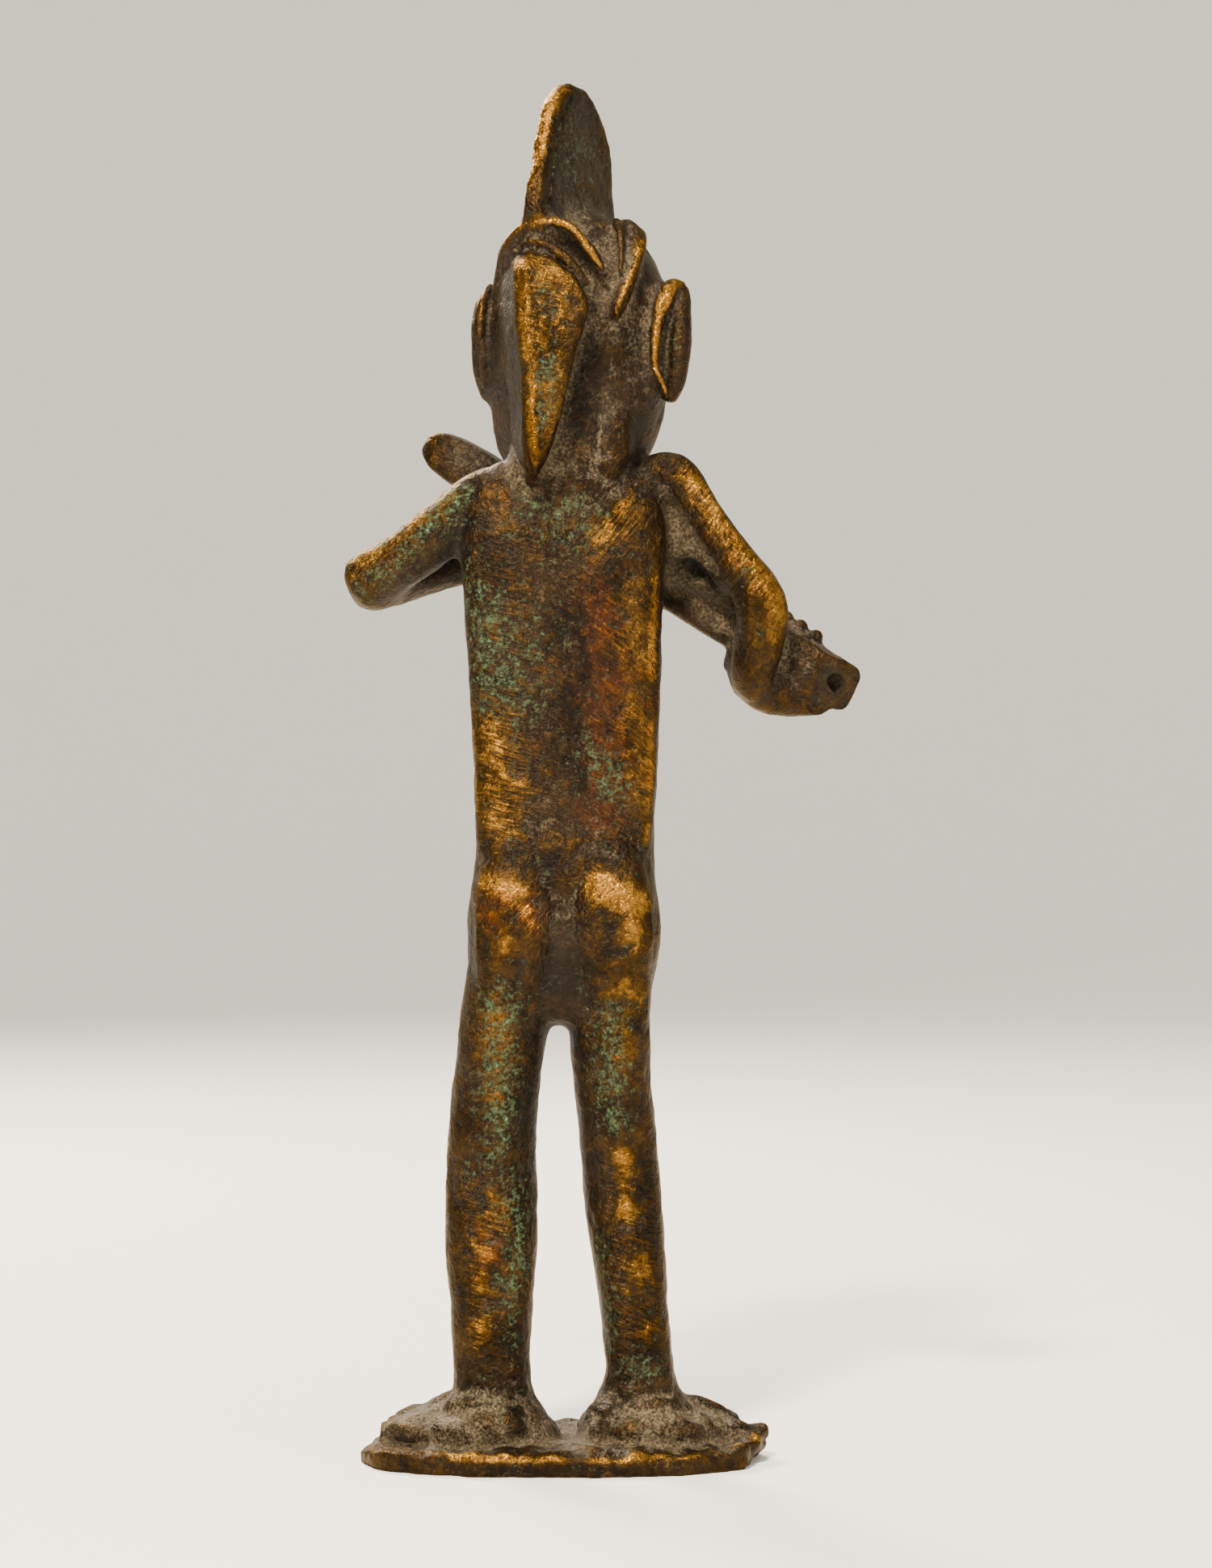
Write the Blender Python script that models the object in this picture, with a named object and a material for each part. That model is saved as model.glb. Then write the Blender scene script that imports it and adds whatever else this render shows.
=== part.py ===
"""Small standing bronze figure that holds a long pipe, cast in one with its thin foot plate.

The figure faces -Y and its left hand is on +X. The origin is on the underside of the plate.
Limbs, head and hair are built as separate closed forms, as a caster builds a wax, then fused
into one skin, softened at the joins and cut flat underneath.
"""

import bmesh
import bpy
from math import cos, pi, radians, sin
from mathutils import Matrix, Vector

# Driving dimensions, in metres.
FIGURE_HEIGHT = 0.1675  # from the soles to the tip of the crest
PLATE_WIDTH = 0.0505
PLATE_DEPTH = 0.0276
PLATE_THICKNESS = 0.0030  # at the middle; the two ends are thinner and lift a little
PIPE_LENGTH = 0.0640
PIPE_THICKNESS = 0.0057  # across its middle
PIPE_FLARE = 1.08  # how much thicker the open end is than the middle
PIPE_BORE = 0.0034
PIPE_BORE_DEPTH = 0.0045
PIPE_PAST_HAND = 0.0125  # what shows beyond the lower hand

# The pose and the carving are drawn in parts of the figure's height.
CANON = 167.5
PART = FIGURE_HEIGHT / CANON

HEAD_TURN = radians(-14)  # towards the figure's right shoulder
CREST_TURN = radians(-26)
HEAD_AXIS = Vector((-2.1, -1.0, 0))
HEAD_LEAN = 0.09  # sideways, for each part of height below the ears' middle
EAR_LEVEL = 137.0
FOOT_SPLAY = radians(52)

# The fused skin.
VOXEL = 0.5 * PART
SOFTENING_PASSES = 3
SKIN_FACES = 9700
SIDES = 20
GROUND_CUT = 0.008  # depth of the block that cuts the underside flat


def place(point):
    """A point in parts above the soles, in metres above the underside."""
    return Vector(point) * PART + Vector((0, 0, PLATE_THICKNESS))


def on_head(point, angle):
    """A point drawn on a head that looks straight ahead, turned and leant with the head."""
    lean = Vector((max(0, EAR_LEVEL - point[2]) * HEAD_LEAN, 0, 0))
    return Matrix.Rotation(angle, 3, "Z") @ (Vector(point) + lean) + HEAD_AXIS


def blended(rows, steps):
    """Rows of numbers on a smooth curve through the given rows."""
    rows = [list(row) for row in rows]
    padded = [rows[0]] + rows + [rows[-1]]
    curve = []
    for a, b, c, d in zip(padded, padded[1:], padded[2:], padded[3:]):
        for step in range(steps):
            t = step / steps
            curve.append([
                0.5 * (2 * q + (r - p) * t + (2 * p - 5 * q + 4 * r - s) * t * t
                       + (3 * q - p - 3 * r + s) * t ** 3)
                for p, q, r, s in zip(a, b, c, d)
            ])
    return curve + [rows[-1]]


def section(centre, across, deep, half_width, half_depth, power):
    """A closed ring: an ellipse at power 2, nearer a rounded rectangle above it."""
    ring = []
    for step in range(SIDES):
        angle = 2 * pi * step / SIDES
        c, s = cos(angle), sin(angle)
        x = abs(c) ** (2 / power) * (1 if c >= 0 else -1) * half_width
        y = abs(s) ** (2 / power) * (1 if s >= 0 else -1) * half_depth
        ring.append(centre + across * x + deep * y)
    return ring


def add_rings(wax, rings):
    """A closed skin over the rings, flat at both ends."""
    loops = [[wax.verts.new(place(point)) for point in ring] for ring in rings]
    faces = [wax.faces.new(loops[0]), wax.faces.new(loops[-1])]
    for low, high in zip(loops, loops[1:]):
        for i in range(len(low)):
            j = (i + 1) % len(low)
            faces.append(wax.faces.new((low[i], low[j], high[j], high[i])))
    bmesh.ops.recalc_face_normals(wax, faces=faces)


def add_form(wax, rows, side=(1, 0, 0), power=2.0, steps=4, dome=0.7, turned=None):
    """A rounded form along a path. A row is x, y, z, half width along side, half depth."""
    rows = blended(rows, steps)
    points = [Vector(row[:3]) for row in rows]
    sizes = [(row[3], row[4]) for row in rows]
    for end, step in ((0, 1), (-1, -1)):
        outward = (points[end] - points[end + step]).normalized()
        wide, deep = sizes[end]
        reach = dome * min(wide, deep)
        cap = [(points[end] + outward * reach * sin(a), (wide * cos(a), deep * cos(a)))
               for a in (radians(30), radians(58), radians(80))]
        if end == 0:
            points = [p for p, _ in reversed(cap)] + points
            sizes = [s for _, s in reversed(cap)] + sizes
        else:
            points += [p for p, _ in cap]
            sizes += [s for _, s in cap]
    rings = []
    for i, (point, (wide, deep)) in enumerate(zip(points, sizes)):
        along = points[min(i + 1, len(points) - 1)] - points[max(i - 1, 0)]
        along.normalize()
        across = Vector(side) - along * along.dot(Vector(side))
        across.normalize()
        rings.append(section(point, across, along.cross(across), wide, deep, power))
    if turned is not None:
        rings = [[on_head(point, turned) for point in ring] for ring in rings]
    add_rings(wax, rings)


def add_ball(wax, centre, radii, turned=None):
    """An egg-shaped pellet of wax, pressed on."""
    x, y, z = centre
    wide, deep, high = radii
    rows = [(x, y, z + high * cos(a), wide * sin(a), deep * sin(a))
            for a in (radians(d) for d in (160, 135, 110, 85, 60, 40, 20))]
    add_form(wax, rows, steps=1, dome=0.15, turned=turned)


def add_torso(wax):
    """A flat-backed column with square shoulders and hips."""
    add_form(wax, [
        (0.3, 0.3, 54.4, 10.6, 5.2),
        (0.0, 0.4, 59.0, 11.9, 6.1),
        (-0.1, 0.4, 64.5, 12.0, 6.4),
        (-0.2, 0.0, 72.0, 11.1, 5.7),
        (-0.3, 0.0, 79.0, 11.3, 5.7),
        (-0.3, 0.0, 90.0, 11.8, 5.9),
        (-0.1, 0.0, 101.0, 12.3, 6.2),
        (0.0, 0.0, 112.0, 12.9, 6.1),
        (0.3, 0.2, 117.0, 11.8, 5.2),
    ], power=3.2)
    for side in (-1, 1):
        add_form(wax, [
            (5.9 * side, 1.4, 70.6, 4.4, 2.8),
            (5.9 * side, 3.3, 67.2, 5.3, 4.2),
            (5.8 * side, 3.6, 62.5, 5.2, 4.3),
            (6.0 * side, 2.8, 57.0, 4.9, 4.0),
            (6.5 * side, 1.5, 52.0, 4.4, 3.9),
            (6.8 * side, 0.6, 46.0, 4.0, 3.8),
        ], power=2.4, dome=0.5)


def add_leg(wax, rows):
    """A straight, barely shaped leg."""
    add_form(wax, rows, power=2.3)


def add_foot(wax, ankle_x, ankle_y, side):
    """A splayed foot with a full heel, low instep and five short toes, in a skirt of metal."""
    toe_way = Vector((sin(FOOT_SPLAY) * side, -cos(FOOT_SPLAY), 0))
    over = Vector((cos(FOOT_SPLAY) * side, sin(FOOT_SPLAY), 0))
    ankle = Vector((ankle_x, ankle_y, 0))
    rows = [(-4.6, 1.5, 4.2, 2.8), (-1.5, 2.0, 5.2, 4.2), (3.5, 2.1, 5.0, 3.9),
            (8.0, 1.4, 5.0, 3.0), (12.0, 0.9, 5.0, 2.2)]
    add_form(wax, [
        (*(ankle + toe_way * reach + Vector((0, 0, high))), wide, thick)
        for reach, high, wide, thick in rows
    ], side=over, power=2.3)
    for toe in range(5):
        spread = (toe - 2) * 2.0
        reach = 14.2 - 0.35 * abs(toe - 1.2) ** 1.6
        tip = ankle + toe_way * reach + over * spread
        root = ankle + toe_way * (reach - 3.5) + over * spread * 0.9
        add_form(wax, [
            (*root, 1.0, 1.5),
            (tip.x, tip.y, 1.0, 1.0, 1.3),
        ], side=over, steps=2)
    add_form(wax, [
        (ankle_x - 0.8 * side, ankle_y, 0.2, 7.4, 6.2),
        (ankle_x - 0.5 * side, ankle_y, 2.0, 6.4, 5.4),
        (ankle_x, ankle_y, 5.0, 5.2, 4.8),
        (ankle_x, ankle_y, 8.0, 4.4, 4.2),
    ], power=2.2, steps=3)


def pipe_line():
    """The lower hand's point on the pipe and the way towards its upper end, in parts."""
    upper, lower = Vector((17.8, -16.6, 124.4)), Vector((-36.0, -3.0, 92.0))
    way = (upper - lower).normalized()
    hand = lower + way * 12.5
    return hand, way


def add_pipe(wax):
    """A long pipe, square in section towards its open end and rounded off at the other."""
    hand, way = pipe_line()
    low_end = hand - way * PIPE_PAST_HAND / PART
    length = PIPE_LENGTH / PART
    half = PIPE_THICKNESS / PART / 2
    across = way.cross(Vector((0, 0, 1))).normalized()
    deep = way.cross(across)
    profile = [(0.0, 0.94 * PIPE_FLARE), (0.04, 1.0 * PIPE_FLARE), (0.13, 1.05 * PIPE_FLARE),
               (0.25, 1.0 * PIPE_FLARE), (0.38, 1.0), (0.7, 0.95), (0.88, 1.02), (0.955, 0.92),
               (0.985, 0.68), (1.0, 0.35)]
    bore = PIPE_BORE / PART / 2
    depth = PIPE_BORE_DEPTH / PART
    inner = section(low_end + way * depth, across, deep, bore * 0.8, bore * 0.8, 2.4)
    mouth = section(low_end, across, deep, bore, bore, 2.6)
    outside = [section(low_end + way * length * share, across, deep, half * size, half * size, 3.6)
               for share, size in blended(profile, 4)]
    add_rings(wax, [inner, mouth] + outside)
    for reach, size in ((0.13, 0.9), (0.18, 0.8), (0.23, 0.9)):
        bump = low_end + way * length * reach - deep * half * 1.06
        add_ball(wax, bump, (size, size * 1.3, size))


def add_hand(wax, grip, wrist, knuckles, turn_in):
    """A fist round the pipe: a palm on one side, fingers that curl over the other."""
    _, way = pipe_line()
    out = (wrist - grip) - way * way.dot(wrist - grip)
    out.normalize()
    over = way.cross(out) * turn_in
    half = PIPE_THICKNESS / PART / 2
    palm = grip + out * (half + 1.3)
    add_form(wax, [
        (*(palm - way * 3.6), 2.0, 2.2),
        (*palm, 2.5, 2.6),
        (*(palm + way * 3.6), 2.0, 2.2),
    ], side=over)
    for finger in range(knuckles):
        middle = grip + way * (finger - (knuckles - 1) / 2) * 2.1
        rows = []
        for degrees in (10, 55, 100, 145, 185):
            angle = radians(degrees)
            reach = (half + 0.75) * (1.12 if degrees < 100 else 1.05)
            rows.append((*(middle + out * reach * cos(angle) + over * reach * sin(angle)), 1.15, 1.05))
        add_form(wax, rows, side=way, steps=3)


def add_arms(wax):
    """The left arm held out with its hand by the chin, the right one reaching down the pipe."""
    grip, way = pipe_line()
    left_grip = grip + way * 35.0
    add_form(wax, [
        (8.5, 0.4, 116.8, 3.6, 3.6),
        (12.0, 0.4, 114.6, 3.7, 3.6),
        (18.0, 0.0, 109.8, 3.5, 3.5),
        (24.4, -1.2, 105.8, 3.7, 3.7),
    ], side=(0, 1, 0))
    left_wrist = left_grip + Vector((3.4, 3.8, -5.6))
    add_form(wax, [
        (23.7, -1.8, 105.5, 3.7, 3.6),
        (18.6, -6.6, 107.2, 3.2, 3.3),
        (*left_wrist, 2.5, 2.6),
        (*(left_grip + Vector((1.2, 1.4, -3.6))), 2.3, 2.3),
    ], side=(0, 1, 0))
    add_hand(wax, left_grip, left_wrist, 4, -1)
    add_form(wax, [
        (-10.8, 0.4, 117.2, 2.6, 2.6),
        (-12.4, 1.0, 119.4, 2.6, 2.6),
        (-14.4, 1.2, 118.6, 2.7, 2.6),
        (-17.6, 1.4, 113.8, 2.7, 2.3),
        (-21.6, 2.0, 107.8, 2.8, 2.6),
        (-24.3, 2.0, 103.2, 3.2, 3.3),
        (-24.4, 0.8, 99.0, 3.1, 3.2),
        (-23.6, -0.8, 95.4, 3.0, 3.0),
        (-23.6, -2.6, 93.0, 2.6, 2.6),
    ], side=(0, 1, 0))
    add_hand(wax, grip - way * 1.4, Vector((-23.4, -2.0, 89.6)), 4, -1)
    add_form(wax, [
        (-22.6, -4.0, 94.4, 2.4, 2.8),
        (-25.2, -4.4, 92.6, 3.2, 3.2),
        (-28.6, -4.2, 91.6, 2.8, 2.6),
        (-32.4, -3.6, 91.0, 1.7, 1.9),
    ], side=(0, 1, 0))


def add_armpit_web(wax):
    """The skin of metal left between the right arm and the ribs, with an arched lower edge
    and a thicker web in front of it that runs down onto the pipe."""
    add_form(wax, [
        (-12.2, -0.8, 118.0, 2.2, 1.5),
        (-13.8, -0.8, 114.8, 3.2, 1.4),
        (-15.6, -0.6, 111.4, 3.8, 1.4),
    ], power=2.6)
    add_form(wax, [
        (-11.4, -0.8, 107.6, 1.4, 1.8),
        (-13.4, -0.8, 109.4, 1.3, 1.6),
        (-16.0, -0.6, 110.4, 1.3, 1.5),
        (-18.4, 0.0, 108.4, 1.5, 1.5),
        (-20.6, 0.8, 105.4, 1.6, 1.6),
    ], side=(0, 1, 0))
    add_form(wax, [
        (-11.4, -4.0, 107.4, 2.4, 2.2),
        (-14.4, -5.0, 107.6, 2.2, 2.2),
        (-17.6, -4.4, 106.2, 2.0, 2.0),
        (-20.8, -2.6, 104.4, 1.8, 1.8),
    ], side=(0, 1, 0))


def add_head(wax):
    """A broad oval head on a thick neck, with a calm, regular face."""
    add_form(wax, [
        (0.2, 0.4, 112.0, 8.6, 4.8),
        (-0.4, 0.9, 117.5, 8.2, 5.6),
        (-0.9, 1.2, 122.0, 7.4, 6.0),
        (-1.2, 0.8, 130.0, 7.2, 6.4),
    ])
    add_form(wax, [
        (0, -7.2, 117.4, 4.8, 3.0),
        (0, -4.8, 119.6, 7.9, 5.6),
        (0, -3.4, 123.0, 10.0, 8.0),
        (0, -2.4, 128.6, 11.4, 9.7),
        (0, -1.6, 135.5, 11.6, 10.8),
        (0, -0.9, 141.5, 10.7, 10.6),
        (0, -0.3, 146.0, 8.9, 9.4),
        (0, 0.0, 148.8, 6.6, 7.4),
    ], power=2.2, dome=0.45, turned=HEAD_TURN)


def add_face(wax):
    """Brow, nose, lidded eyes, closed lips and chin on plain proportions."""
    add_form(wax, [
        (0, -11.5, 137.0, 1.3, 1.1),
        (0, -12.6, 132.6, 1.4, 1.3),
        (0, -13.5, 128.8, 2.0, 1.7),
    ], turned=HEAD_TURN)
    for side in (-1, 1):
        add_form(wax, [
            (1.3 * side, -12.0, 137.2, 0.8, 1.1),
            (4.8 * side, -11.3, 138.2, 0.8, 1.0),
            (8.4 * side, -8.7, 136.8, 0.7, 0.9),
        ], side=(0, 0, 1), turned=HEAD_TURN)
        add_form(wax, [
            (2.3 * side, -11.2, 133.6, 0.6, 0.8),
            (4.8 * side, -10.9, 133.9, 1.5, 1.5),
            (7.5 * side, -9.2, 133.5, 0.6, 0.8),
        ], side=(0, 0, 1), turned=HEAD_TURN)
        add_ball(wax, (2.1 * side, -12.3, 128.4), (1.2, 1.4, 1.1), turned=HEAD_TURN)
    for height, thick, out in ((124.3, 0.8, -11.1), (122.8, 0.9, -10.8)):
        add_form(wax, [
            (-3.3, out + 1.5, height, 0.5, 0.8),
            (0.0, out, height, thick, 1.2),
            (3.3, out + 1.5, height, 0.5, 0.8),
        ], side=(0, 0, 1), turned=HEAD_TURN)


def add_ears(wax):
    """Large ears: a thick flange that stands off the head, with a raised rim at its back."""
    for side in (-1, 1):
        add_form(wax, [
            (10.9 * side, 0.2, 141.8, 1.5, 1.8),
            (11.7 * side, 0.8, 139.6, 1.9, 2.6),
            (11.9 * side, 1.0, 135.6, 1.9, 2.9),
            (11.4 * side, 0.8, 131.4, 1.8, 2.5),
            (10.7 * side, 0.0, 128.8, 1.4, 1.6),
        ], power=2.8, dome=0.5, turned=HEAD_TURN)
        add_form(wax, [
            (10.7 * side, 1.2, 142.2, 0.9, 0.9),
            (10.6 * side, 3.2, 139.8, 0.9, 0.9),
            (10.3 * side, 4.2, 136.0, 0.8, 0.8),
            (10.3 * side, 3.8, 132.2, 0.8, 0.8),
            (10.7 * side, 2.2, 129.2, 0.8, 0.8),
        ], turned=HEAD_TURN)


def add_crest(wax):
    """The tall blade of hair that stands fore and aft on the crown."""
    add_form(wax, [
        (0, 2.0, 145.6, 3.4, 11.0),
        (0, 2.4, 149.2, 2.5, 11.0),
        (0, 2.2, 152.0, 1.9, 10.6),
        (0, 1.4, 157.0, 1.5, 9.0),
        (0, 1.5, 160.4, 1.5, 7.7),
        (0, 1.7, 163.0, 1.4, 6.2),
        (0, 1.9, 165.4, 1.3, 3.9),
        (0, 1.9, 166.3, 1.2, 2.6),
    ], power=4.0, dome=0.7, turned=CREST_TURN)


def add_bands(wax):
    """Raised locks: an arch over the top of the plait, one that curls down behind the right
    ear and a plain fillet across the brow."""
    add_form(wax, [
        (7.3, 4.2, 142.8, 0.9, 0.9),
        (6.4, 6.8, 145.8, 1.1, 1.1),
        (4.6, 8.3, 147.9, 2.0, 1.1),
        (1.6, 8.9, 148.5, 2.3, 1.1),
        (-1.3, 9.0, 147.3, 2.2, 1.1),
        (-3.4, 9.0, 144.9, 1.8, 1.1),
        (-4.9, 9.0, 142.6, 1.0, 0.8),
    ], side=(0, 1, 0))
    add_form(wax, [
        (-7.6, 2.4, 149.4, 1.6, 1.6),
        (-9.0, 4.4, 147.2, 1.4, 1.4),
        (-8.7, 6.2, 144.6, 1.2, 1.2),
        (-7.9, 7.8, 142.3, 1.1, 1.1),
        (-7.0, 8.9, 139.4, 1.0, 1.0),
        (-6.4, 9.4, 137.4, 0.7, 0.7),
    ], side=(0, 1, 0))
    add_form(wax, [
        (10.8, -2.6, 141.6, 0.9, 0.9),
        (8.4, -8.0, 143.0, 1.0, 0.9),
        (3.0, -11.0, 144.0, 1.1, 1.0),
        (-3.0, -11.0, 144.0, 1.1, 1.0),
        (-8.4, -8.0, 143.0, 1.0, 0.9),
        (-10.8, -2.6, 141.6, 0.9, 0.9),
    ], side=(0, 0, 1), turned=HEAD_TURN)


def add_plait(wax):
    """The stiff plait that hangs from the crown to the nape, a flat-faced slab that tapers down.

    Each row gives the height, the left and right edges of its back face, how far back that
    face stands and where the left wall of the slab meets the head.
    """
    rows = [
        (145.4, 4.9, 2.8, 10.6, 6.0),
        (143.4, 5.6, 0.4, 12.4, 7.4),
        (141.6, 5.5, -1.7, 13.2, 8.2),
        (138.4, 5.4, -3.1, 13.8, 8.3),
        (135.4, 5.2, -2.4, 13.9, 8.2),
        (132.0, 4.9, -1.3, 13.7, 7.8),
        (128.2, 4.7, -0.4, 13.2, 7.2),
        (124.2, 4.5, 0.5, 12.4, 6.5),
        (120.6, 4.4, 1.8, 11.2, 5.8),
        (118.6, 4.1, 2.9, 10.0, 5.0),
    ]
    rings = []
    for high, left, right, back, root in blended(rows, 3):
        rings.append([Vector(point) for point in (
            (root, 4.0, high),
            (left + 0.1, back - 1.2, high),
            (left - 1.0, back, high),
            ((left * 2 + right) / 3, back + 0.3, high),
            (right + 0.4, back - 0.3, high),
            (right, back - 1.0, high),
            (right + 0.8, 4.0, high),
        )])
    add_rings(wax, rings)


def add_plate(wax):
    """The thin, uneven foot plate. Each row is a bearing, its reach as a share of the half
    width or half depth, and the heights of its underside and top as shares of the thickness."""
    rim = [(0, 0.985, 0.30, 0.80), (20, 1.02, 0.22, 0.78), (40, 1.10, 0.05, 0.84),
           (62, 1.06, -1.0, 0.95), (90, 1.00, -1.0, 1.0), (118, 1.05, -1.0, 0.92),
           (142, 1.06, 0.05, 0.84), (165, 0.98, 0.36, 1.0), (182, 1.00, 0.46, 1.15),
           (200, 1.00, 0.32, 0.96), (228, 1.03, -1.0, 0.90), (270, 1.00, -1.0, 0.95),
           (312, 1.05, -1.0, 0.92), (338, 1.00, 0.20, 0.84), (360, 0.985, 0.30, 0.80)]
    centre = Vector((-0.0002, -0.0010, 0))
    outline = blended(rim, 4)[:-1]
    loops = []
    for inward, level in ((1.0, 0.0), (1.0, 0.15), (0.995, 0.75), (0.955, 1.0)):
        loops.append([
            wax.verts.new(centre + Vector((
                cos(radians(bearing)) * out * inward * PLATE_WIDTH / 2,
                sin(radians(bearing)) * out * inward * PLATE_DEPTH / 2,
                (under + (top - under) * level) * PLATE_THICKNESS)))
            for bearing, out, under, top in outline
        ])
    faces = [wax.faces.new(loops[0]), wax.faces.new(loops[-1])]
    for low, high in zip(loops, loops[1:]):
        for i in range(len(low)):
            j = (i + 1) % len(low)
            faces.append(wax.faces.new((low[i], low[j], high[j], high[i])))
    bmesh.ops.recalc_face_normals(wax, faces=faces)


def build_wax():
    """Every form of the figure in one mesh, still overlapping."""
    wax = bmesh.new()
    add_torso(wax)
    add_leg(wax, [
        (6.5, 0.4, 58.0, 5.2, 5.6),
        (7.6, 0.4, 49.1, 5.6, 5.6),
        (8.7, -0.4, 39.1, 5.5, 5.2),
        (8.9, -0.8, 31.1, 5.8, 5.2),
        (8.9, 0.2, 25.1, 5.8, 5.3),
        (8.8, 0.8, 18.1, 5.4, 5.1),
        (8.9, 0.8, 10.1, 4.8, 4.4),
        (8.7, 0.6, 3.0, 5.0, 4.6),
    ])
    add_leg(wax, [
        (-6.0, 0.4, 58.0, 5.2, 5.6),
        (-5.7, 0.4, 49.1, 4.9, 5.4),
        (-6.6, -0.4, 39.1, 4.8, 5.0),
        (-7.2, -0.8, 31.1, 4.9, 4.9),
        (-7.8, 0.2, 25.1, 4.7, 4.9),
        (-8.6, 0.8, 18.1, 4.4, 4.7),
        (-9.3, 0.8, 10.1, 4.2, 4.1),
        (-9.4, 0.6, 3.0, 4.6, 4.3),
    ])
    add_foot(wax, 8.8, 0.6, 1)
    add_foot(wax, -9.4, 0.6, -1)
    add_pipe(wax)
    add_arms(wax)
    add_armpit_web(wax)
    add_head(wax)
    add_face(wax)
    add_ears(wax)
    add_crest(wax)
    add_bands(wax)
    add_plait(wax)
    add_plate(wax)
    return wax


def bronze():
    """Old bronze: brown where it is dark, golden where hands have rubbed it."""
    material = bpy.data.materials.new("patinated_bronze")
    material.use_nodes = True
    shader = material.node_tree.nodes["Principled BSDF"]
    shader.inputs["Base Color"].default_value = (0.17, 0.095, 0.035, 1)
    shader.inputs["Metallic"].default_value = 0.85
    shader.inputs["Roughness"].default_value = 0.45
    return material


def ground_cutter():
    """A block below the underside, which leaves the plate standing on one flat face."""
    bpy.ops.mesh.primitive_cube_add(size=1, location=(0, 0, -GROUND_CUT / 2))
    block = bpy.context.object
    block.name = "ground_cutter"
    block.scale = (3 * PLATE_WIDTH, 3 * PLATE_DEPTH, GROUND_CUT)
    bpy.ops.object.transform_apply(location=True, rotation=False, scale=True)
    block.hide_render = True
    block.display_type = "WIRE"
    return block


def build_figure():
    """The fused casting, with its skin thinned to a set number of faces."""
    wax = build_wax()
    mesh = bpy.data.meshes.new("bronze_figure")
    wax.to_mesh(mesh)
    wax.free()
    figure = bpy.data.objects.new("bronze_figure", mesh)
    bpy.context.collection.objects.link(figure)
    mesh.materials.append(bronze())

    fuse = figure.modifiers.new("fuse", "REMESH")
    fuse.mode = "VOXEL"
    fuse.voxel_size = VOXEL
    fuse.use_smooth_shade = True
    soften = figure.modifiers.new("soften", "SMOOTH")
    soften.factor = 0.5
    soften.iterations = SOFTENING_PASSES
    evaluated = figure.evaluated_get(bpy.context.evaluated_depsgraph_get())
    fused_triangles = 2 * len(evaluated.to_mesh().polygons)
    evaluated.to_mesh_clear()
    thin = figure.modifiers.new("thin", "DECIMATE")
    thin.ratio = SKIN_FACES / fused_triangles
    stand = figure.modifiers.new("stand", "BOOLEAN")
    stand.operation = "DIFFERENCE"
    stand.object = ground_cutter()
    return figure


for old in list(bpy.data.objects):
    bpy.data.objects.remove(old)
build_figure()
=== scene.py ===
from math import cos, pi, radians, sin

import bmesh
import bpy
import numpy as np
from mathutils import Matrix, Vector, noise
from mathutils.bvhtree import BVHTree


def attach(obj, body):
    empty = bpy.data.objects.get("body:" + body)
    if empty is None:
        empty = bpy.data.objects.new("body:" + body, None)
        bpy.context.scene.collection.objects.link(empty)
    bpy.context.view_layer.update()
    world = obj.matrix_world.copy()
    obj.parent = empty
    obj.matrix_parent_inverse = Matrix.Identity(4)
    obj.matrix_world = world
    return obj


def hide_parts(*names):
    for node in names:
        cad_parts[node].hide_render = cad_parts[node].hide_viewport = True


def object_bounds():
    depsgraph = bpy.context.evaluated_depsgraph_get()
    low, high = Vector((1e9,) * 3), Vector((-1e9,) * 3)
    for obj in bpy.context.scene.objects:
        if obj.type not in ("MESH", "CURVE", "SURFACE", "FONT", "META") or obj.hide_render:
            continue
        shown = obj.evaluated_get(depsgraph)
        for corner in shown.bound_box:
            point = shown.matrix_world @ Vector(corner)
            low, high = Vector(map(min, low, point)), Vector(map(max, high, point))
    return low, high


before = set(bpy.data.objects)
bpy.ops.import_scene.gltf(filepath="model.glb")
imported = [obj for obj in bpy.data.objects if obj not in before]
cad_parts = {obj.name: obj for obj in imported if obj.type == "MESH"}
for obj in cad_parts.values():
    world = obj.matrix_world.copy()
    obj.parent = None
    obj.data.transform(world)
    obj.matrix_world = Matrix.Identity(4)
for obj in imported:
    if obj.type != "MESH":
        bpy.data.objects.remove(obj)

cad_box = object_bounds()

# The body. A solid bronze poured in one, from a wax that was rolled, pressed and
# pared by hand: torso, legs, arms, head and foot plate are all one piece of metal.
SOLES = 3.0  # mm, the soles above the underside of the plate
GRAIN = 0.00028  # m, the finest wax shape that is kept


def spot(point):
    """A place in millimetres above the soles, as Blender's metres."""
    return Vector((point[0], point[1], point[2] + SOLES)) / 1000


def smooth_curve(rows, steps):
    """Rows of numbers on a smooth curve through the given rows."""
    rows = [list(row) for row in rows]
    padded = [rows[0]] + rows + [rows[-1]]
    curve = []
    for a, b, c, d in zip(padded, padded[1:], padded[2:], padded[3:]):
        for step in range(steps):
            t = step / steps
            curve.append([
                0.5 * (2 * q + (r - p) * t + (2 * p - 5 * q + 4 * r - s) * t * t
                       + (3 * q - p - 3 * r + s) * t ** 3)
                for p, q, r, s in zip(a, b, c, d)
            ])
    return curve + [rows[-1]]


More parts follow.
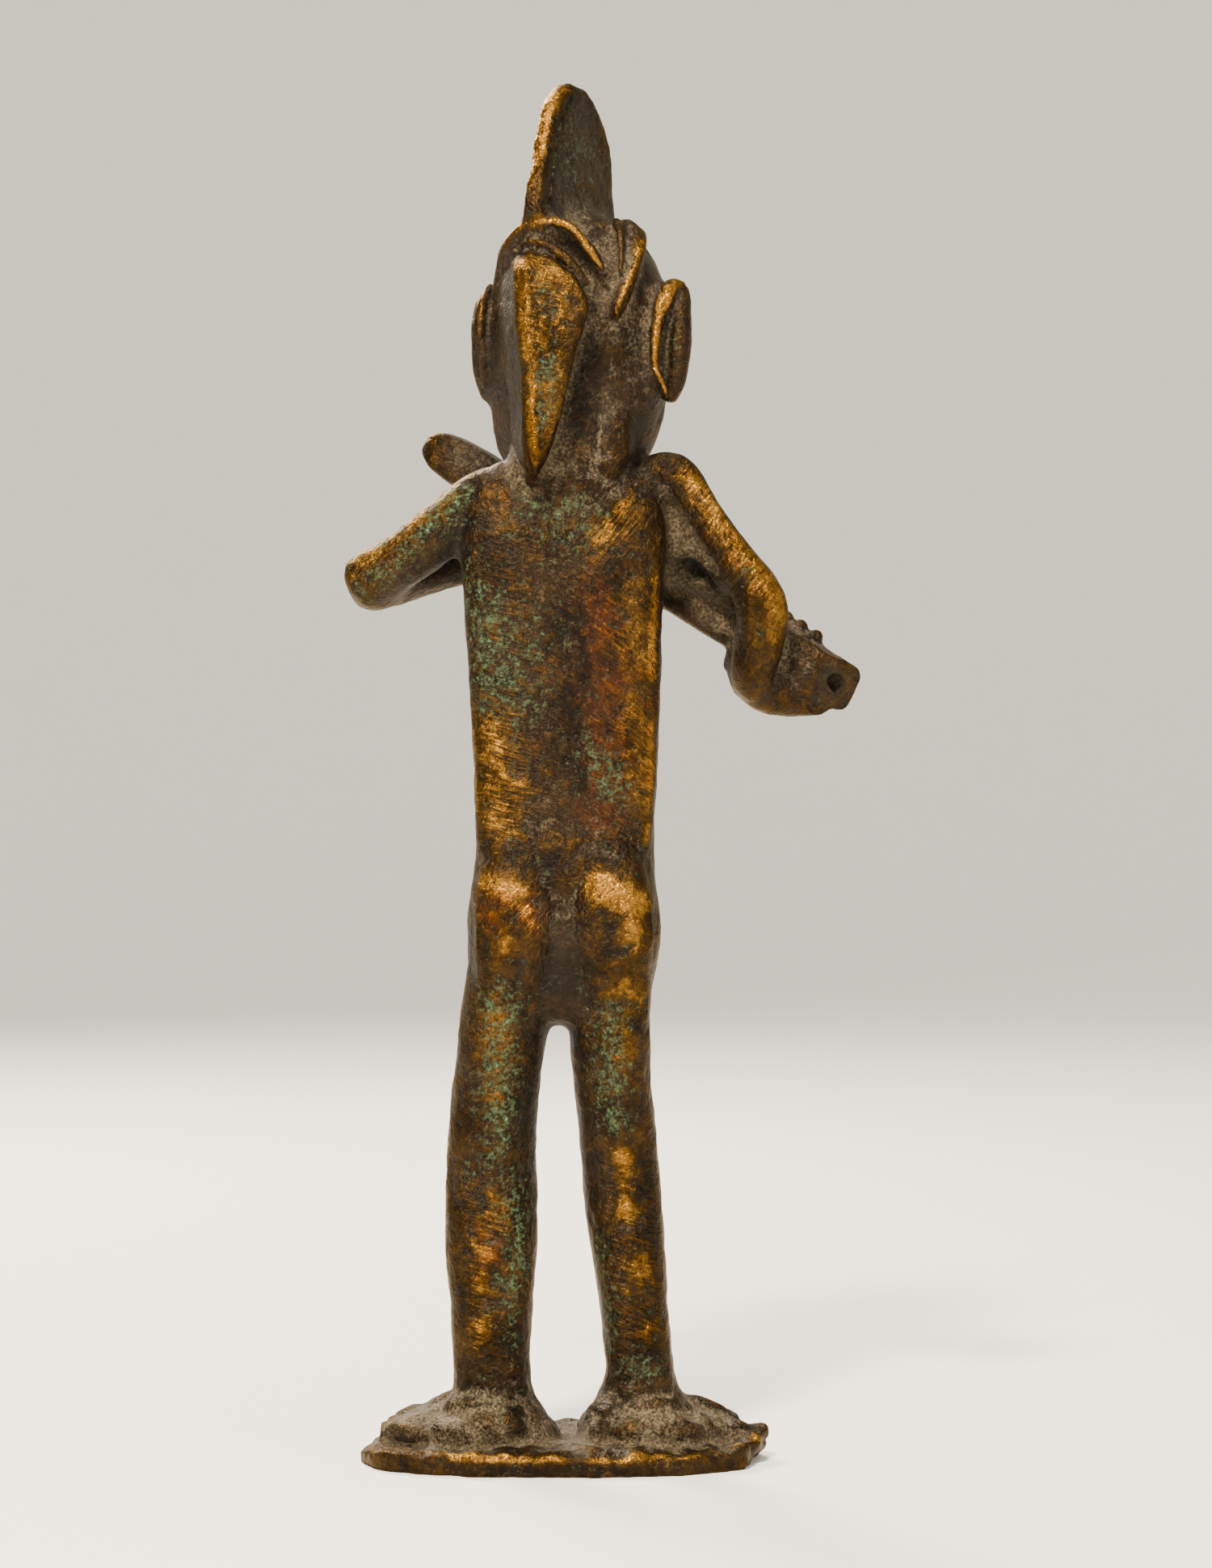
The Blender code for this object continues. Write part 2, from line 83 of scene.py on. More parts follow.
def skin_over(name, rings):
    """A closed wax form over rings of points, joined to the body later."""
    mesh = bpy.data.meshes.new(name)
    form = bpy.data.objects.new(name, mesh)
    bpy.context.scene.collection.objects.link(form)
    wax = bmesh.new()
    loops = [[wax.verts.new(point) for point in ring] for ring in rings]
    wax.faces.new(loops[0])
    wax.faces.new(loops[-1])
    for low, high in zip(loops, loops[1:]):
        for i in range(len(low)):
            j = (i + 1) % len(low)
            wax.faces.new((low[i], low[j], high[j], high[i]))
    bmesh.ops.recalc_face_normals(wax, faces=wax.faces[:])
    wax.to_mesh(mesh)
    wax.free()
    wax_forms.append(form)


def roll(name, rows, side=(1, 0, 0), power=2.0, steps=5, dome=0.75, turned=None, sides=24):
    """A rolled or pressed form. A row is x, y, z, half width along side, half depth, in mm."""
    rows = smooth_curve(rows, steps)
    points = [Vector(row[:3]) for row in rows]
    sizes = [(row[3], row[4]) for row in rows]
    for end, step in ((0, 1), (-1, -1)):
        outward = (points[end] - points[end + step]).normalized()
        wide, deep = sizes[end]
        reach = dome * min(wide, deep)
        cap = [(points[end] + outward * reach * sin(a), (wide * cos(a), deep * cos(a)))
               for a in (radians(25), radians(48), radians(68), radians(83))]
        if end == 0:
            points = [p for p, _ in reversed(cap)] + points
            sizes = [s for _, s in reversed(cap)] + sizes
        else:
            points += [p for p, _ in cap]
            sizes += [s for _, s in cap]
    rings = []
    for i, (point, (wide, deep)) in enumerate(zip(points, sizes)):
        along = points[min(i + 1, len(points) - 1)] - points[max(i - 1, 0)]
        along.normalize()
        across = Vector(side) - along * along.dot(Vector(side))
        across.normalize()
        over = along.cross(across)
        ring = []
        for step in range(sides):
            c, s = cos(2 * pi * step / sides), sin(2 * pi * step / sides)
            x = abs(c) ** (2 / power) * (1 if c >= 0 else -1) * wide
            y = abs(s) ** (2 / power) * (1 if s >= 0 else -1) * deep
            place = point + across * x + over * y
            if turned is not None:
                place = on_head(place, turned)
            ring.append(spot(place))
        rings.append(ring)
    skin_over(name, rings)


def pellet(name, centre, radii, turned=None):
    """An egg-shaped pellet of wax, pressed on."""
    x, y, z = centre
    wide, deep, high = radii
    rows = [(x, y, z + high * cos(a), wide * sin(a), deep * sin(a))
            for a in (radians(d) for d in (165, 145, 125, 105, 85, 65, 45, 28, 15))]
    roll(name, rows, steps=1, dome=0.12, turned=turned)


HEAD_AXIS = Vector((-2.1, -1.0, 0))
HEAD_TURN = radians(-14)  # towards the figure's right shoulder
CREST_TURN = radians(-26)


def on_head(point, angle):
    """A place drawn on a head that looks straight ahead, turned and leant with the head."""
    lean = Vector((max(0, 137.0 - point[2]) * 0.09, 0, 0))
    return Matrix.Rotation(angle, 3, "Z") @ (Vector(point) + lean) + HEAD_AXIS


wax_forms = []
bpy.ops.object.select_all(action="DESELECT")
casting = bpy.data.objects.new("figure_casting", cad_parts["bronze_figure"].data.copy())
bpy.context.scene.collection.objects.link(casting)
casting.data.materials.clear()
casting.select_set(True)
bpy.context.view_layer.objects.active = casting
bpy.ops.object.mode_set(mode="EDIT")
bpy.ops.mesh.select_all(action="SELECT")
bpy.ops.mesh.remove_doubles(threshold=0.000002)
bpy.ops.object.mode_set(mode="OBJECT")
rounding = casting.modifiers.new("rounding", "SUBSURF")
rounding.levels = 1
rounding.render_levels = 1
easing = casting.modifiers.new("easing", "SMOOTH")
easing.factor = 0.5
easing.iterations = 3
bpy.ops.object.modifier_apply(modifier=rounding.name)
bpy.ops.object.modifier_apply(modifier=easing.name)


def skin_points():
    """The casting's points and outward directions, in millimetres above the soles."""
    count = len(casting.data.vertices)
    points = np.zeros(count * 3)
    casting.data.vertices.foreach_get("co", points)
    outward = np.zeros(count * 3)
    casting.data.vertices.foreach_get("normal", outward)
    points = points.reshape(-1, 3) * 1000 - (0, 0, SOLES)
    return points, outward.reshape(-1, 3)


def put_points(points):
    """Moves the casting's points."""
    casting.data.vertices.foreach_set("co", ((points + (0, 0, SOLES)) / 1000).ravel())
    casting.data.update()


def soft_step(value, start, run):
    """0 up to start, rising to 1 over the run. A negative run falls the other way."""
    return np.clip((value - start) / run, 0, 1)


# Where crisper forms go back on, the copy is pared down a little: crest, plait and ears.
points, outward = skin_points()
across, deep, height = abs(points[:, 0] + 1.5), points[:, 1], points[:, 2]
pared = np.zeros(len(points))
for depth, edges in (
        (0.55, ((height, 149.5, 2),)),
        (0.35, ((deep, 8, 2), (height, 116, 2), (height, 149, -2))),
        (0.45, ((across, 9.8, 2), (height, 124, 5), (height, 146, -5)))):
    share = depth
    for value, start, run in edges:
        share = share * soft_step(value, start, run)
    pared = np.maximum(pared, share)
put_points(points - pared[:, None] * outward)

# The back was filed flat to square edges; the buttocks slope out from the small of it.
roll("back_slab", [
    (0.0, -1.8, 62.0, 9.4, 3.4),
    (0.0, -1.2, 66.0, 9.9, 4.2),
    (0.0, -0.5, 70.0, 10.3, 5.1),
    (0.0, 0.0, 74.0, 10.8, 5.65),
    (-0.3, 0.0, 79.0, 11.2, 5.75),
    (-0.3, 0.0, 90.0, 11.7, 5.95),
    (-0.1, 0.0, 101.0, 12.2, 6.2),
    (0.0, 0.0, 111.0, 12.6, 6.2),
    (0.2, 0.0, 114.5, 12.0, 5.6),
    (0.2, -0.4, 117.0, 10.6, 4.8),
    (0.2, -1.0, 119.4, 8.6, 3.6),
], power=5.0, dome=0.3, sides=40)
for side in (-1, 1):
    roll("buttock", [
        (5.6 * side, 2.2, 76.5, 3.0, 3.0),
        (5.7 * side, 3.0, 72.0, 4.2, 3.6),
        (5.8 * side, 3.9, 66.8, 5.0, 4.1),
        (5.9 * side, 3.9, 62.2, 5.2, 4.2),
        (6.1 * side, 2.9, 57.0, 4.9, 4.0),
        (6.5 * side, 1.6, 52.0, 4.3, 3.9),
    ], power=2.6, dome=0.6)
roll("small_of_back", [
    (0.0, 2.2, 76.5, 5.0, 3.2),
    (0.0, 2.9, 72.5, 5.4, 3.6),
    (0.0, 3.2, 69.0, 5.4, 3.8),
    (0.0, 2.6, 66.0, 4.4, 3.4),
], power=3.0)
roll("neck_cord", [
    (-4.6, 2.2, 130.0, 2.0, 2.2),
    (-5.4, 2.6, 126.2, 2.9, 3.2),
    (-5.6, 3.0, 122.6, 3.2, 3.6),
    (-4.8, 3.4, 119.4, 2.8, 3.0),
], power=2.8)

# The crest, a tall blade of hair that stands fore and aft on the crown, with a
# rolled bead of metal down its back edge that hands have rubbed bright.
roll("crest_blade", [
    (0, 2.0, 147.6, 2.4, 11.0),
    (0, 2.4, 149.6, 1.7, 11.0),
    (0, 2.2, 152.0, 1.3, 10.7),
    (0, 1.4, 157.0, 1.15, 9.1),
    (0, 1.5, 160.4, 1.15, 7.8),
    (0, 1.7, 163.0, 1.1, 6.3),
    (0, 1.9, 165.4, 1.0, 4.1),
    (0, 1.9, 166.4, 0.9, 2.7),
], power=7.0, dome=0.5, turned=CREST_TURN)
roll("crest_bead", [
    (0.2, 12.3, 151.6, 0.3, 0.4),
    (0.3, 12.1, 152.8, 0.75, 0.8),
    (0.4, 10.9, 154.6, 0.95, 0.85),
    (0.4, 10.0, 157.2, 1.0, 0.9),
    (0.4, 8.8, 160.4, 1.1, 0.95),
    (0.4, 7.5, 163.0, 1.1, 0.95),
    (0.3, 5.3, 165.3, 1.0, 0.9),
    (0.2, 3.2, 166.4, 0.8, 0.7),
], power=2.8, turned=CREST_TURN)

# The hair bands, raised locks rolled in wax and pressed on the skull: an arch over
# the top of the plait, a pair that curls down behind the right ear, a brow fillet.
roll("arch_lock", [
    (8.2, 1.6, 140.8, 0.8, 0.8),
    (7.6, 3.6, 143.8, 1.2, 0.8),
    (6.7, 5.4, 146.3, 1.8, 0.8),
    (4.8, 6.8, 148.1, 2.4, 0.8),
    (1.2, 7.7, 148.5, 2.8, 0.8),
    (-1.3, 8.1, 147.5, 2.6, 0.8),
    (-3.4, 8.5, 145.3, 2.0, 0.8),
    (-4.9, 8.5, 143.1, 1.2, 0.7),
], side=(0, 1, 0), power=2.8)
roll("arch_ridge", [
    (7.4, 4.8, 143.6, 0.45, 0.45),
    (6.7, 7.4, 146.3, 0.55, 0.55),
    (4.8, 9.6, 148.2, 0.6, 0.6),
    (1.2, 10.8, 148.8, 0.6, 0.6),
    (-1.3, 11.2, 147.8, 0.6, 0.6),
    (-3.4, 11.1, 145.2, 0.55, 0.55),
    (-4.9, 10.5, 142.9, 0.4, 0.4),
], side=(0, 1, 0))
roll("ear_lock", [
    (-7.0, 0.2, 149.0, 1.6, 1.0),
    (-8.2, 2.8, 148.4, 1.9, 1.0),
    (-8.5, 5.2, 146.6, 1.7, 0.95),
    (-8.3, 7.0, 144.0, 1.4, 0.9),
    (-7.6, 8.3, 141.2, 1.1, 0.8),
    (-6.9, 9.0, 138.6, 0.8, 0.7),
    (-6.5, 9.2, 137.2, 0.4, 0.5),
], power=2.4)
roll("ear_lock_ridge", [
    (-8.6, 2.4, 149.2, 0.5, 0.5),
    (-9.6, 4.8, 147.4, 0.5, 0.5),
    (-9.2, 6.9, 144.9, 0.5, 0.5),
    (-8.2, 8.5, 142.3, 0.5, 0.5),
    (-7.1, 9.5, 139.4, 0.45, 0.45),
    (-6.5, 9.7, 137.9, 0.3, 0.3),
], side=(0, 1, 0))
roll("ear_lock_inner_ridge", [
    (-6.6, 3.6, 149.8, 0.5, 0.5),
    (-7.0, 6.0, 148.3, 0.5, 0.5),
    (-7.2, 7.8, 145.6, 0.5, 0.5),
    (-7.1, 9.0, 142.8, 0.4, 0.4),
], side=(0, 1, 0))
roll("brow_fillet", [
    (10.8, -2.6, 141.6, 0.7, 0.7),
    (8.4, -8.2, 143.0, 0.75, 0.7),
    (3.0, -11.2, 144.0, 0.8, 0.75),
    (-3.0, -11.2, 144.0, 0.8, 0.75),
    (-8.4, -8.2, 143.0, 0.75, 0.7),
    (-10.8, -2.6, 141.6, 0.7, 0.7),
], side=(0, 0, 1), turned=HEAD_TURN)

# The plait, a stiff slab of hair from the crown to the nape. Its back was filed
# flat after casting and its left edge was bevelled.
# Height, left and right edge of the back face, how far back the face stands, and
# where the left wall meets the head, in mm.
plait_rows = [
    (145.6, 4.8, 2.9, 10.8, 6.0),
    (144.6, 5.4, 1.4, 12.3, 6.8),
    (143.2, 5.7, 0.1, 13.3, 7.0),
    (141.6, 5.7, -1.8, 13.8, 7.2),
    (138.4, 5.6, -3.3, 14.1, 7.2),
    (135.4, 5.4, -2.6, 14.1, 7.0),
    (132.0, 5.1, -1.5, 13.8, 6.7),
    (128.2, 4.9, -0.5, 13.3, 6.3),
    (124.2, 4.7, 0.4, 12.5, 6.5),
    (120.6, 4.6, 1.7, 11.3, 5.8),
    (118.4, 4.3, 2.9, 10.0, 5.0),
    (117.5, 4.2, 3.2, 8.0, 4.8),
    (116.9, 4.1, 3.4, 6.0, 4.6),
]
plait_rings = []
for high, left, right, back, root in smooth_curve(plait_rows, 5):
    plait_rings.append([spot(point) for point in (
        (root, 4.0, high),
        (left + 0.15, back - 1.5, high),
        (left - 0.05, back - 1.1, high),
        (left - 1.3, back + 0.15, high),
        (left - 1.6, back + 0.2, high),
        ((left * 2 + right) / 3 - 0.3, back - 0.05, high),
        (right + 0.5, back - 0.2, high),
        (right + 0.1, back - 0.6, high),
        (right, back - 1.1, high),
        (right + 0.8, 4.0, high),
    )])
skin_over("plait_slab", plait_rings)
roll("plait_top_edge", [
    (5.6, 9.4, 145.4, 0.5, 0.6),
    (3.9, 10.9, 146.5, 0.6, 0.6),
    (1.0, 11.6, 145.4, 0.6, 0.6),
    (-1.3, 11.9, 143.3, 0.6, 0.6),
    (-3.0, 11.6, 141.0, 0.4, 0.5),
], side=(0, 1, 0))

# The ears, thick flanges that stand off the head. Each has an outer leaf and a
# raised rim at its back, with a trough between them.
roll("right_ear_leaf", [
    (-14.6, 2.6, 141.2, 0.9, 1.9),
    (-14.5, 3.2, 138.8, 1.3, 2.8),
    (-14.4, 3.4, 135.0, 1.45, 3.0),
    (-14.0, 3.0, 131.2, 1.35, 2.7),
    (-13.2, 2.2, 128.4, 0.9, 1.7),
], power=3.0)
roll("right_ear_rim", [
    (-14.6, 4.0, 141.9, 0.6, 0.6),
    (-13.2, 5.2, 141.6, 1.0, 0.9),
    (-12.3, 6.0, 139.4, 1.1, 0.95),
    (-11.6, 6.4, 136.8, 0.8, 0.8),
    (-11.2, 6.6, 134.0, 0.55, 0.75),
    (-11.3, 6.5, 131.6, 0.5, 0.7),
    (-12.2, 5.9, 129.8, 0.45, 0.6),
    (-12.7, 5.2, 128.2, 0.35, 0.5),
])
roll("left_ear_leaf", [
    (9.4, -1.6, 141.8, 0.7, 1.0),
    (10.3, -1.4, 139.4, 0.85, 1.7),
    (10.6, -1.6, 135.4, 0.85, 1.9),
    (10.3, -2.4, 131.4, 0.8, 1.7),
    (9.6, -3.2, 129.0, 0.7, 1.1),
], power=2.4)
roll("left_ear_rim", [
    (9.0, -0.2, 142.2, 0.6, 0.6),
    (9.9, 0.3, 140.4, 0.65, 0.7),
    (10.2, 0.6, 137.0, 0.6, 0.7),
    (9.9, 0.3, 133.2, 0.55, 0.6),
    (9.6, -0.8, 130.0, 0.5, 0.5),
])

# The face, plain and calm, cut on regular proportions: brow, lidded eyes, straight
# nose, closed lips and a rounded chin, pressed in wax and cast with the head.
roll("nose_ridge", [
    (0, -11.6, 137.4, 1.1, 1.1),
    (0, -12.9, 133.4, 1.05, 1.2),
    (0, -13.9, 130.0, 1.3, 1.3),
    (0, -14.1, 128.4, 1.5, 1.4),
], turned=HEAD_TURN)
for side in (-1, 1):
    pellet("nostril", (1.75 * side, -13.0, 128.3), (1.0, 1.3, 0.95), turned=HEAD_TURN)
    roll("brow", [
        (1.2 * side, -12.3, 137.2, 0.5, 0.9),
        (3.4 * side, -12.3, 138.3, 0.6, 0.9),
        (6.0 * side, -11.0, 138.2, 0.6, 0.9),
        (8.8 * side, -8.7, 136.6, 0.45, 0.7),
    ], side=(0, 0, 1), turned=HEAD_TURN)
    pellet("eyeball", (4.7 * side, -10.3, 133.8), (2.2, 1.9, 1.5), turned=HEAD_TURN)
    roll("upper_lid", [
        (2.2 * side, -11.8, 133.4, 0.35, 0.4),
        (3.4 * side, -12.1, 134.9, 0.45, 0.5),
        (5.0 * side, -11.7, 135.3, 0.45, 0.5),
        (6.4 * side, -10.7, 134.7, 0.4, 0.5),
        (7.5 * side, -9.6, 133.5, 0.3, 0.4),
    ], side=(0, 0, 1), turned=HEAD_TURN)
    roll("lower_lid", [
        (2.2 * side, -11.8, 133.3, 0.3, 0.4),
        (3.6 * side, -12.0, 132.5, 0.35, 0.4),
        (5.2 * side, -11.4, 132.3, 0.35, 0.4),
        (6.6 * side, -10.4, 132.7, 0.3, 0.4),
        (7.5 * side, -9.6, 133.4, 0.3, 0.3),
    ], side=(0, 0, 1), turned=HEAD_TURN)
    pellet("cheek", (5.6 * side, -8.7, 128.6), (2.8, 2.0, 3.0), turned=HEAD_TURN)
roll("upper_lip", [
    (-3.4, -10.6, 124.1, 0.25, 0.4),
    (-1.5, -11.9, 124.7, 0.5, 0.7),
    (0.0, -12.2, 124.5, 0.5, 0.8),
    (1.5, -11.9, 124.7, 0.5, 0.7),
    (3.4, -10.6, 124.1, 0.25, 0.4),
], side=(0, 0, 1), turned=HEAD_TURN)
roll("lower_lip", [
    (-3.0, -10.6, 123.8, 0.25, 0.4),
    (-1.4, -11.6, 123.2, 0.55, 0.8),
    (0.0, -11.8, 123.1, 0.6, 0.9),
    (1.4, -11.6, 123.2, 0.55, 0.8),
    (3.0, -10.6, 123.8, 0.25, 0.4),
], side=(0, 0, 1), turned=HEAD_TURN)
pellet("chin", (0.0, -8.5, 119.2), (3.6, 1.8, 2.6), turned=HEAD_TURN)

# The pipe that the figure holds, square in section towards its open end, with the
# fists that grip it. All are cast with the body; the bore was opened with a punch.
PIPE_LENGTH = 64.0
PIPE_HALF = 2.85
BORE_HALF = 2.15
pipe_upper, pipe_low = Vector((17.8, -16.6, 124.4)), Vector((-36.0, -3.0, 92.0))
pipe_way = (pipe_upper - pipe_low).normalized()
pipe_across = pipe_way.cross(Vector((0, 0, 1))).normalized()
pipe_deep = pipe_way.cross(pipe_across)


def pipe_ring(distance, half, power):
    """A ring of the pipe's section, at a distance from its open end."""
    centre = pipe_low + pipe_way * distance
    ring = []
    for step in range(32):
        c, s = cos(2 * pi * step / 32), sin(2 * pi * step / 32)
        x = abs(c) ** (2 / power) * (1 if c >= 0 else -1) * half
        y = abs(s) ** (2 / power) * (1 if s >= 0 else -1) * half
        ring.append(spot(centre + pipe_across * x + pipe_deep * y))
    return ring


pipe_profile = [(0.0, 1.0), (0.04, 1.07), (0.12, 1.1), (0.25, 1.06), (0.38, 1.0),
                (0.7, 0.96), (0.88, 1.03), (0.955, 0.93), (0.985, 0.68), (1.0, 0.35)]
skin_over("pipe", [pipe_ring(8.0, BORE_HALF * 0.85, 2.2), pipe_ring(1.2, BORE_HALF, 2.6),
                   pipe_ring(0.0, BORE_HALF * 1.18, 3.0)]
          + [pipe_ring(share * PIPE_LENGTH, size * PIPE_HALF, 5.0)
             for share, size in smooth_curve(pipe_profile, 5)])
for reach, size in ((8.6, 0.8), (10.2, 0.95), (12.4, 0.8), (14.6, 0.95), (16.2, 0.7)):
    bump = pipe_low + pipe_way * reach - pipe_deep * PIPE_HALF * 1.08 + pipe_across * 1.2
    pellet("pipe_bump", bump, (size, size * 1.3, size * 0.9))

lower_grip = pipe_low + pipe_way * 11.1
upper_grip = pipe_low + pipe_way * 47.5
for name, grip, wrist in (("left", upper_grip, upper_grip + Vector((3.4, 3.8, -5.6))),
                          ("right", lower_grip, Vector((-23.4, -2.0, 89.6)))):
    away = (wrist - grip) - pipe_way * pipe_way.dot(wrist - grip)
    away.normalize()
    over = pipe_way.cross(away) * -1
    for finger, length in enumerate((1.0, 1.06, 1.04, 0.94)):
        middle = grip + pipe_way * (finger - 1.5) * 2.15
        rows = []
        for degrees in (5, 45, 80, 115, 150, 188 * length):
            knuckle = 1.16 if degrees in (45, 115) else 1.08
            reach = (PIPE_HALF + 0.75) * knuckle
            place = middle + away * reach * cos(radians(degrees)) + over * reach * sin(radians(degrees))
            rows.append((*place, 0.98, 1.05))
        roll(name + "_finger", rows, side=pipe_way, steps=4)
    thumb = grip + pipe_way * 3.0 + away * 3.2 - over * 0.6
    tip = grip + pipe_way * 1.2 - over * 3.6 - away * 0.6
    roll(name + "_thumb", [(*thumb, 1.4, 1.3), (*((thumb + tip) / 2 - over * 1.0), 1.25, 1.2),
                           (*tip, 0.95, 0.9)], side=pipe_way)

# The feet, splayed and short-toed, each in a skirt of metal that ran out over the
# thin plate when the bronze was poured.
for side, ankle_x in ((1, 8.8), (-1, -9.4)):
    toe_way = Vector((sin(radians(52)) * side, -cos(radians(52)), 0))
    over = Vector((cos(radians(52)) * side, sin(radians(52)), 0))
    ankle = Vector((ankle_x, 0.6, 0))
    for toe in range(5):
        spread = (toe - 2) * 2.05
        reach = 14.3 - 0.35 * abs(toe - 1.2) ** 1.6
        root = ankle + toe_way * (reach - 6.5) + over * spread * 0.8
        tip = ankle + toe_way * reach + over * spread
        roll("toe", [
            (root.x, root.y, 2.4, 0.8, 0.9),
            (*(root * 0.5 + tip * 0.5 + Vector((0, 0, 1.75))), 0.85, 0.95),
            (tip.x, tip.y, 1.0, 0.95, 1.05),
        ], side=over, steps=4)

for centre, radii in (
        ((9.8, 3.2, 1.2), (6.6, 5.0, 3.4)), ((16.2, 0.6, 1.0), (5.4, 4.2, 2.3)),
        ((10.4, 2.6, 3.6), (4.6, 3.8, 2.8)), ((13.6, 4.4, 0.8), (3.2, 2.8, 2.4)),
        ((-10.2, 2.6, 3.6), (4.6, 3.6, 2.8)), ((-14.4, 4.0, 0.8), (3.2, 2.8, 2.2)),
        ((20.4, -1.2, 0.2), (3.6, 3.4, 1.6)), ((-9.8, 3.2, 1.2), (6.4, 4.8, 3.3)),
        ((-15.6, 0.8, 1.0), (5.2, 4.2, 2.2)), ((-19.6, -0.8, 0.6), (3.4, 3.4, 1.7))):
    pellet("foot_lump", centre, radii)

# The thin plate. Each row is a bearing, its reach as a share of the half width or half
# depth, and the heights of its underside and its top, in mm above the shelf.
PLATE_HALF = (25.25, 13.8)
plate_rim = [(0, 0.985, 0.1, 1.3), (10, 1.0, 0.0, 1.5), (20, 1.02, 0.0, 1.9), (40, 1.10, 0.0, 2.3),
             (62, 1.06, -1.0, 2.4), (78, 1.02, -1.0, 2.2), (90, 1.00, -1.0, 2.5), (104, 1.02, -1.0, 2.2),
             (118, 1.05, -1.0, 2.3), (142, 1.06, 0.1, 2.5), (158, 0.99, 0.9, 3.0), (170, 0.985, 1.9, 3.6),
             (182, 1.00, 2.5, 4.3), (192, 1.00, 1.9, 3.8), (204, 1.00, 0.9, 2.9), (228, 1.03, -1.0, 2.6),
             (270, 1.00, -1.0, 2.7), (312, 1.05, -1.0, 2.6), (338, 1.00, 0.0, 1.9), (360, 0.985, 0.1, 1.3)]
plate_rings = []
for inward, level in ((0.985, 0.0), (1.0, 0.15), (1.0, 0.9), (0.98, 1.0), (0.9, 1.04)):
    plate_rings.append([
        spot((-0.2 + cos(radians(bearing)) * out * inward * PLATE_HALF[0],
              -1.0 + sin(radians(bearing)) * out * inward * PLATE_HALF[1],
              under + (top - under) * level - SOLES))
        for bearing, out, under, top in smooth_curve(plate_rim, 6)[:-1]
    ])
skin_over("foot_plate", plate_rings)

# All the forms are fused into one skin, as fingers fuse the wax.
bpy.ops.object.select_all(action="DESELECT")
for form in wax_forms:
    form.select_set(True)
casting.select_set(True)
bpy.context.view_layer.objects.active = casting
bpy.ops.object.join()
fusing = casting.modifiers.new("fusing", "REMESH")
fusing.mode = "VOXEL"
fusing.voxel_size = GRAIN
softening = casting.modifiers.new("softening", "SMOOTH")
softening.factor = 0.5
softening.iterations = 3
bpy.ops.object.modifier_apply(modifier=fusing.name)
bpy.ops.object.modifier_apply(modifier=softening.name)


# The tooling: gouged grooves, flats left by the file, dents, pits and the lumpy
# skin of the casting, all worked on the fused skin.
def nearest(points, path):
    """For each point, the nearest place on a path of rows x, y, z, radius."""
    path = np.array(path, float)
    best = np.full(len(points), 1e9)
    place = np.zeros((len(points), 3))
    radius = np.zeros(len(points))
    ends = list(zip(path, path[1:])) if len(path) > 1 else [(path[0], path[0])]
    for a, b in ends:
        way = b[:3] - a[:3]
        share = np.clip((points - a[:3]) @ way / max(way @ way, 1e-9), 0, 1)
        on_path = a[:3] + share[:, None] * way
        gap = np.linalg.norm(points - on_path, axis=1)
        closer = gap < best
        best[closer] = gap[closer]
        place[closer] = on_path[closer]
        radius[closer] = (a[3] + share * (b[3] - a[3]))[closer]
    return place, best, radius


def on_crest(x, y, z, reach):
    """A place on the crest, with the reach of what is done there."""
    return (*on_head((x, y, z), CREST_TURN), reach)


def on_face(x, y, z, reach):
    """A place on the face, with the reach of what is done there."""
    return (*on_head((x, y, z), HEAD_TURN), reach)


points, outward = skin_points()

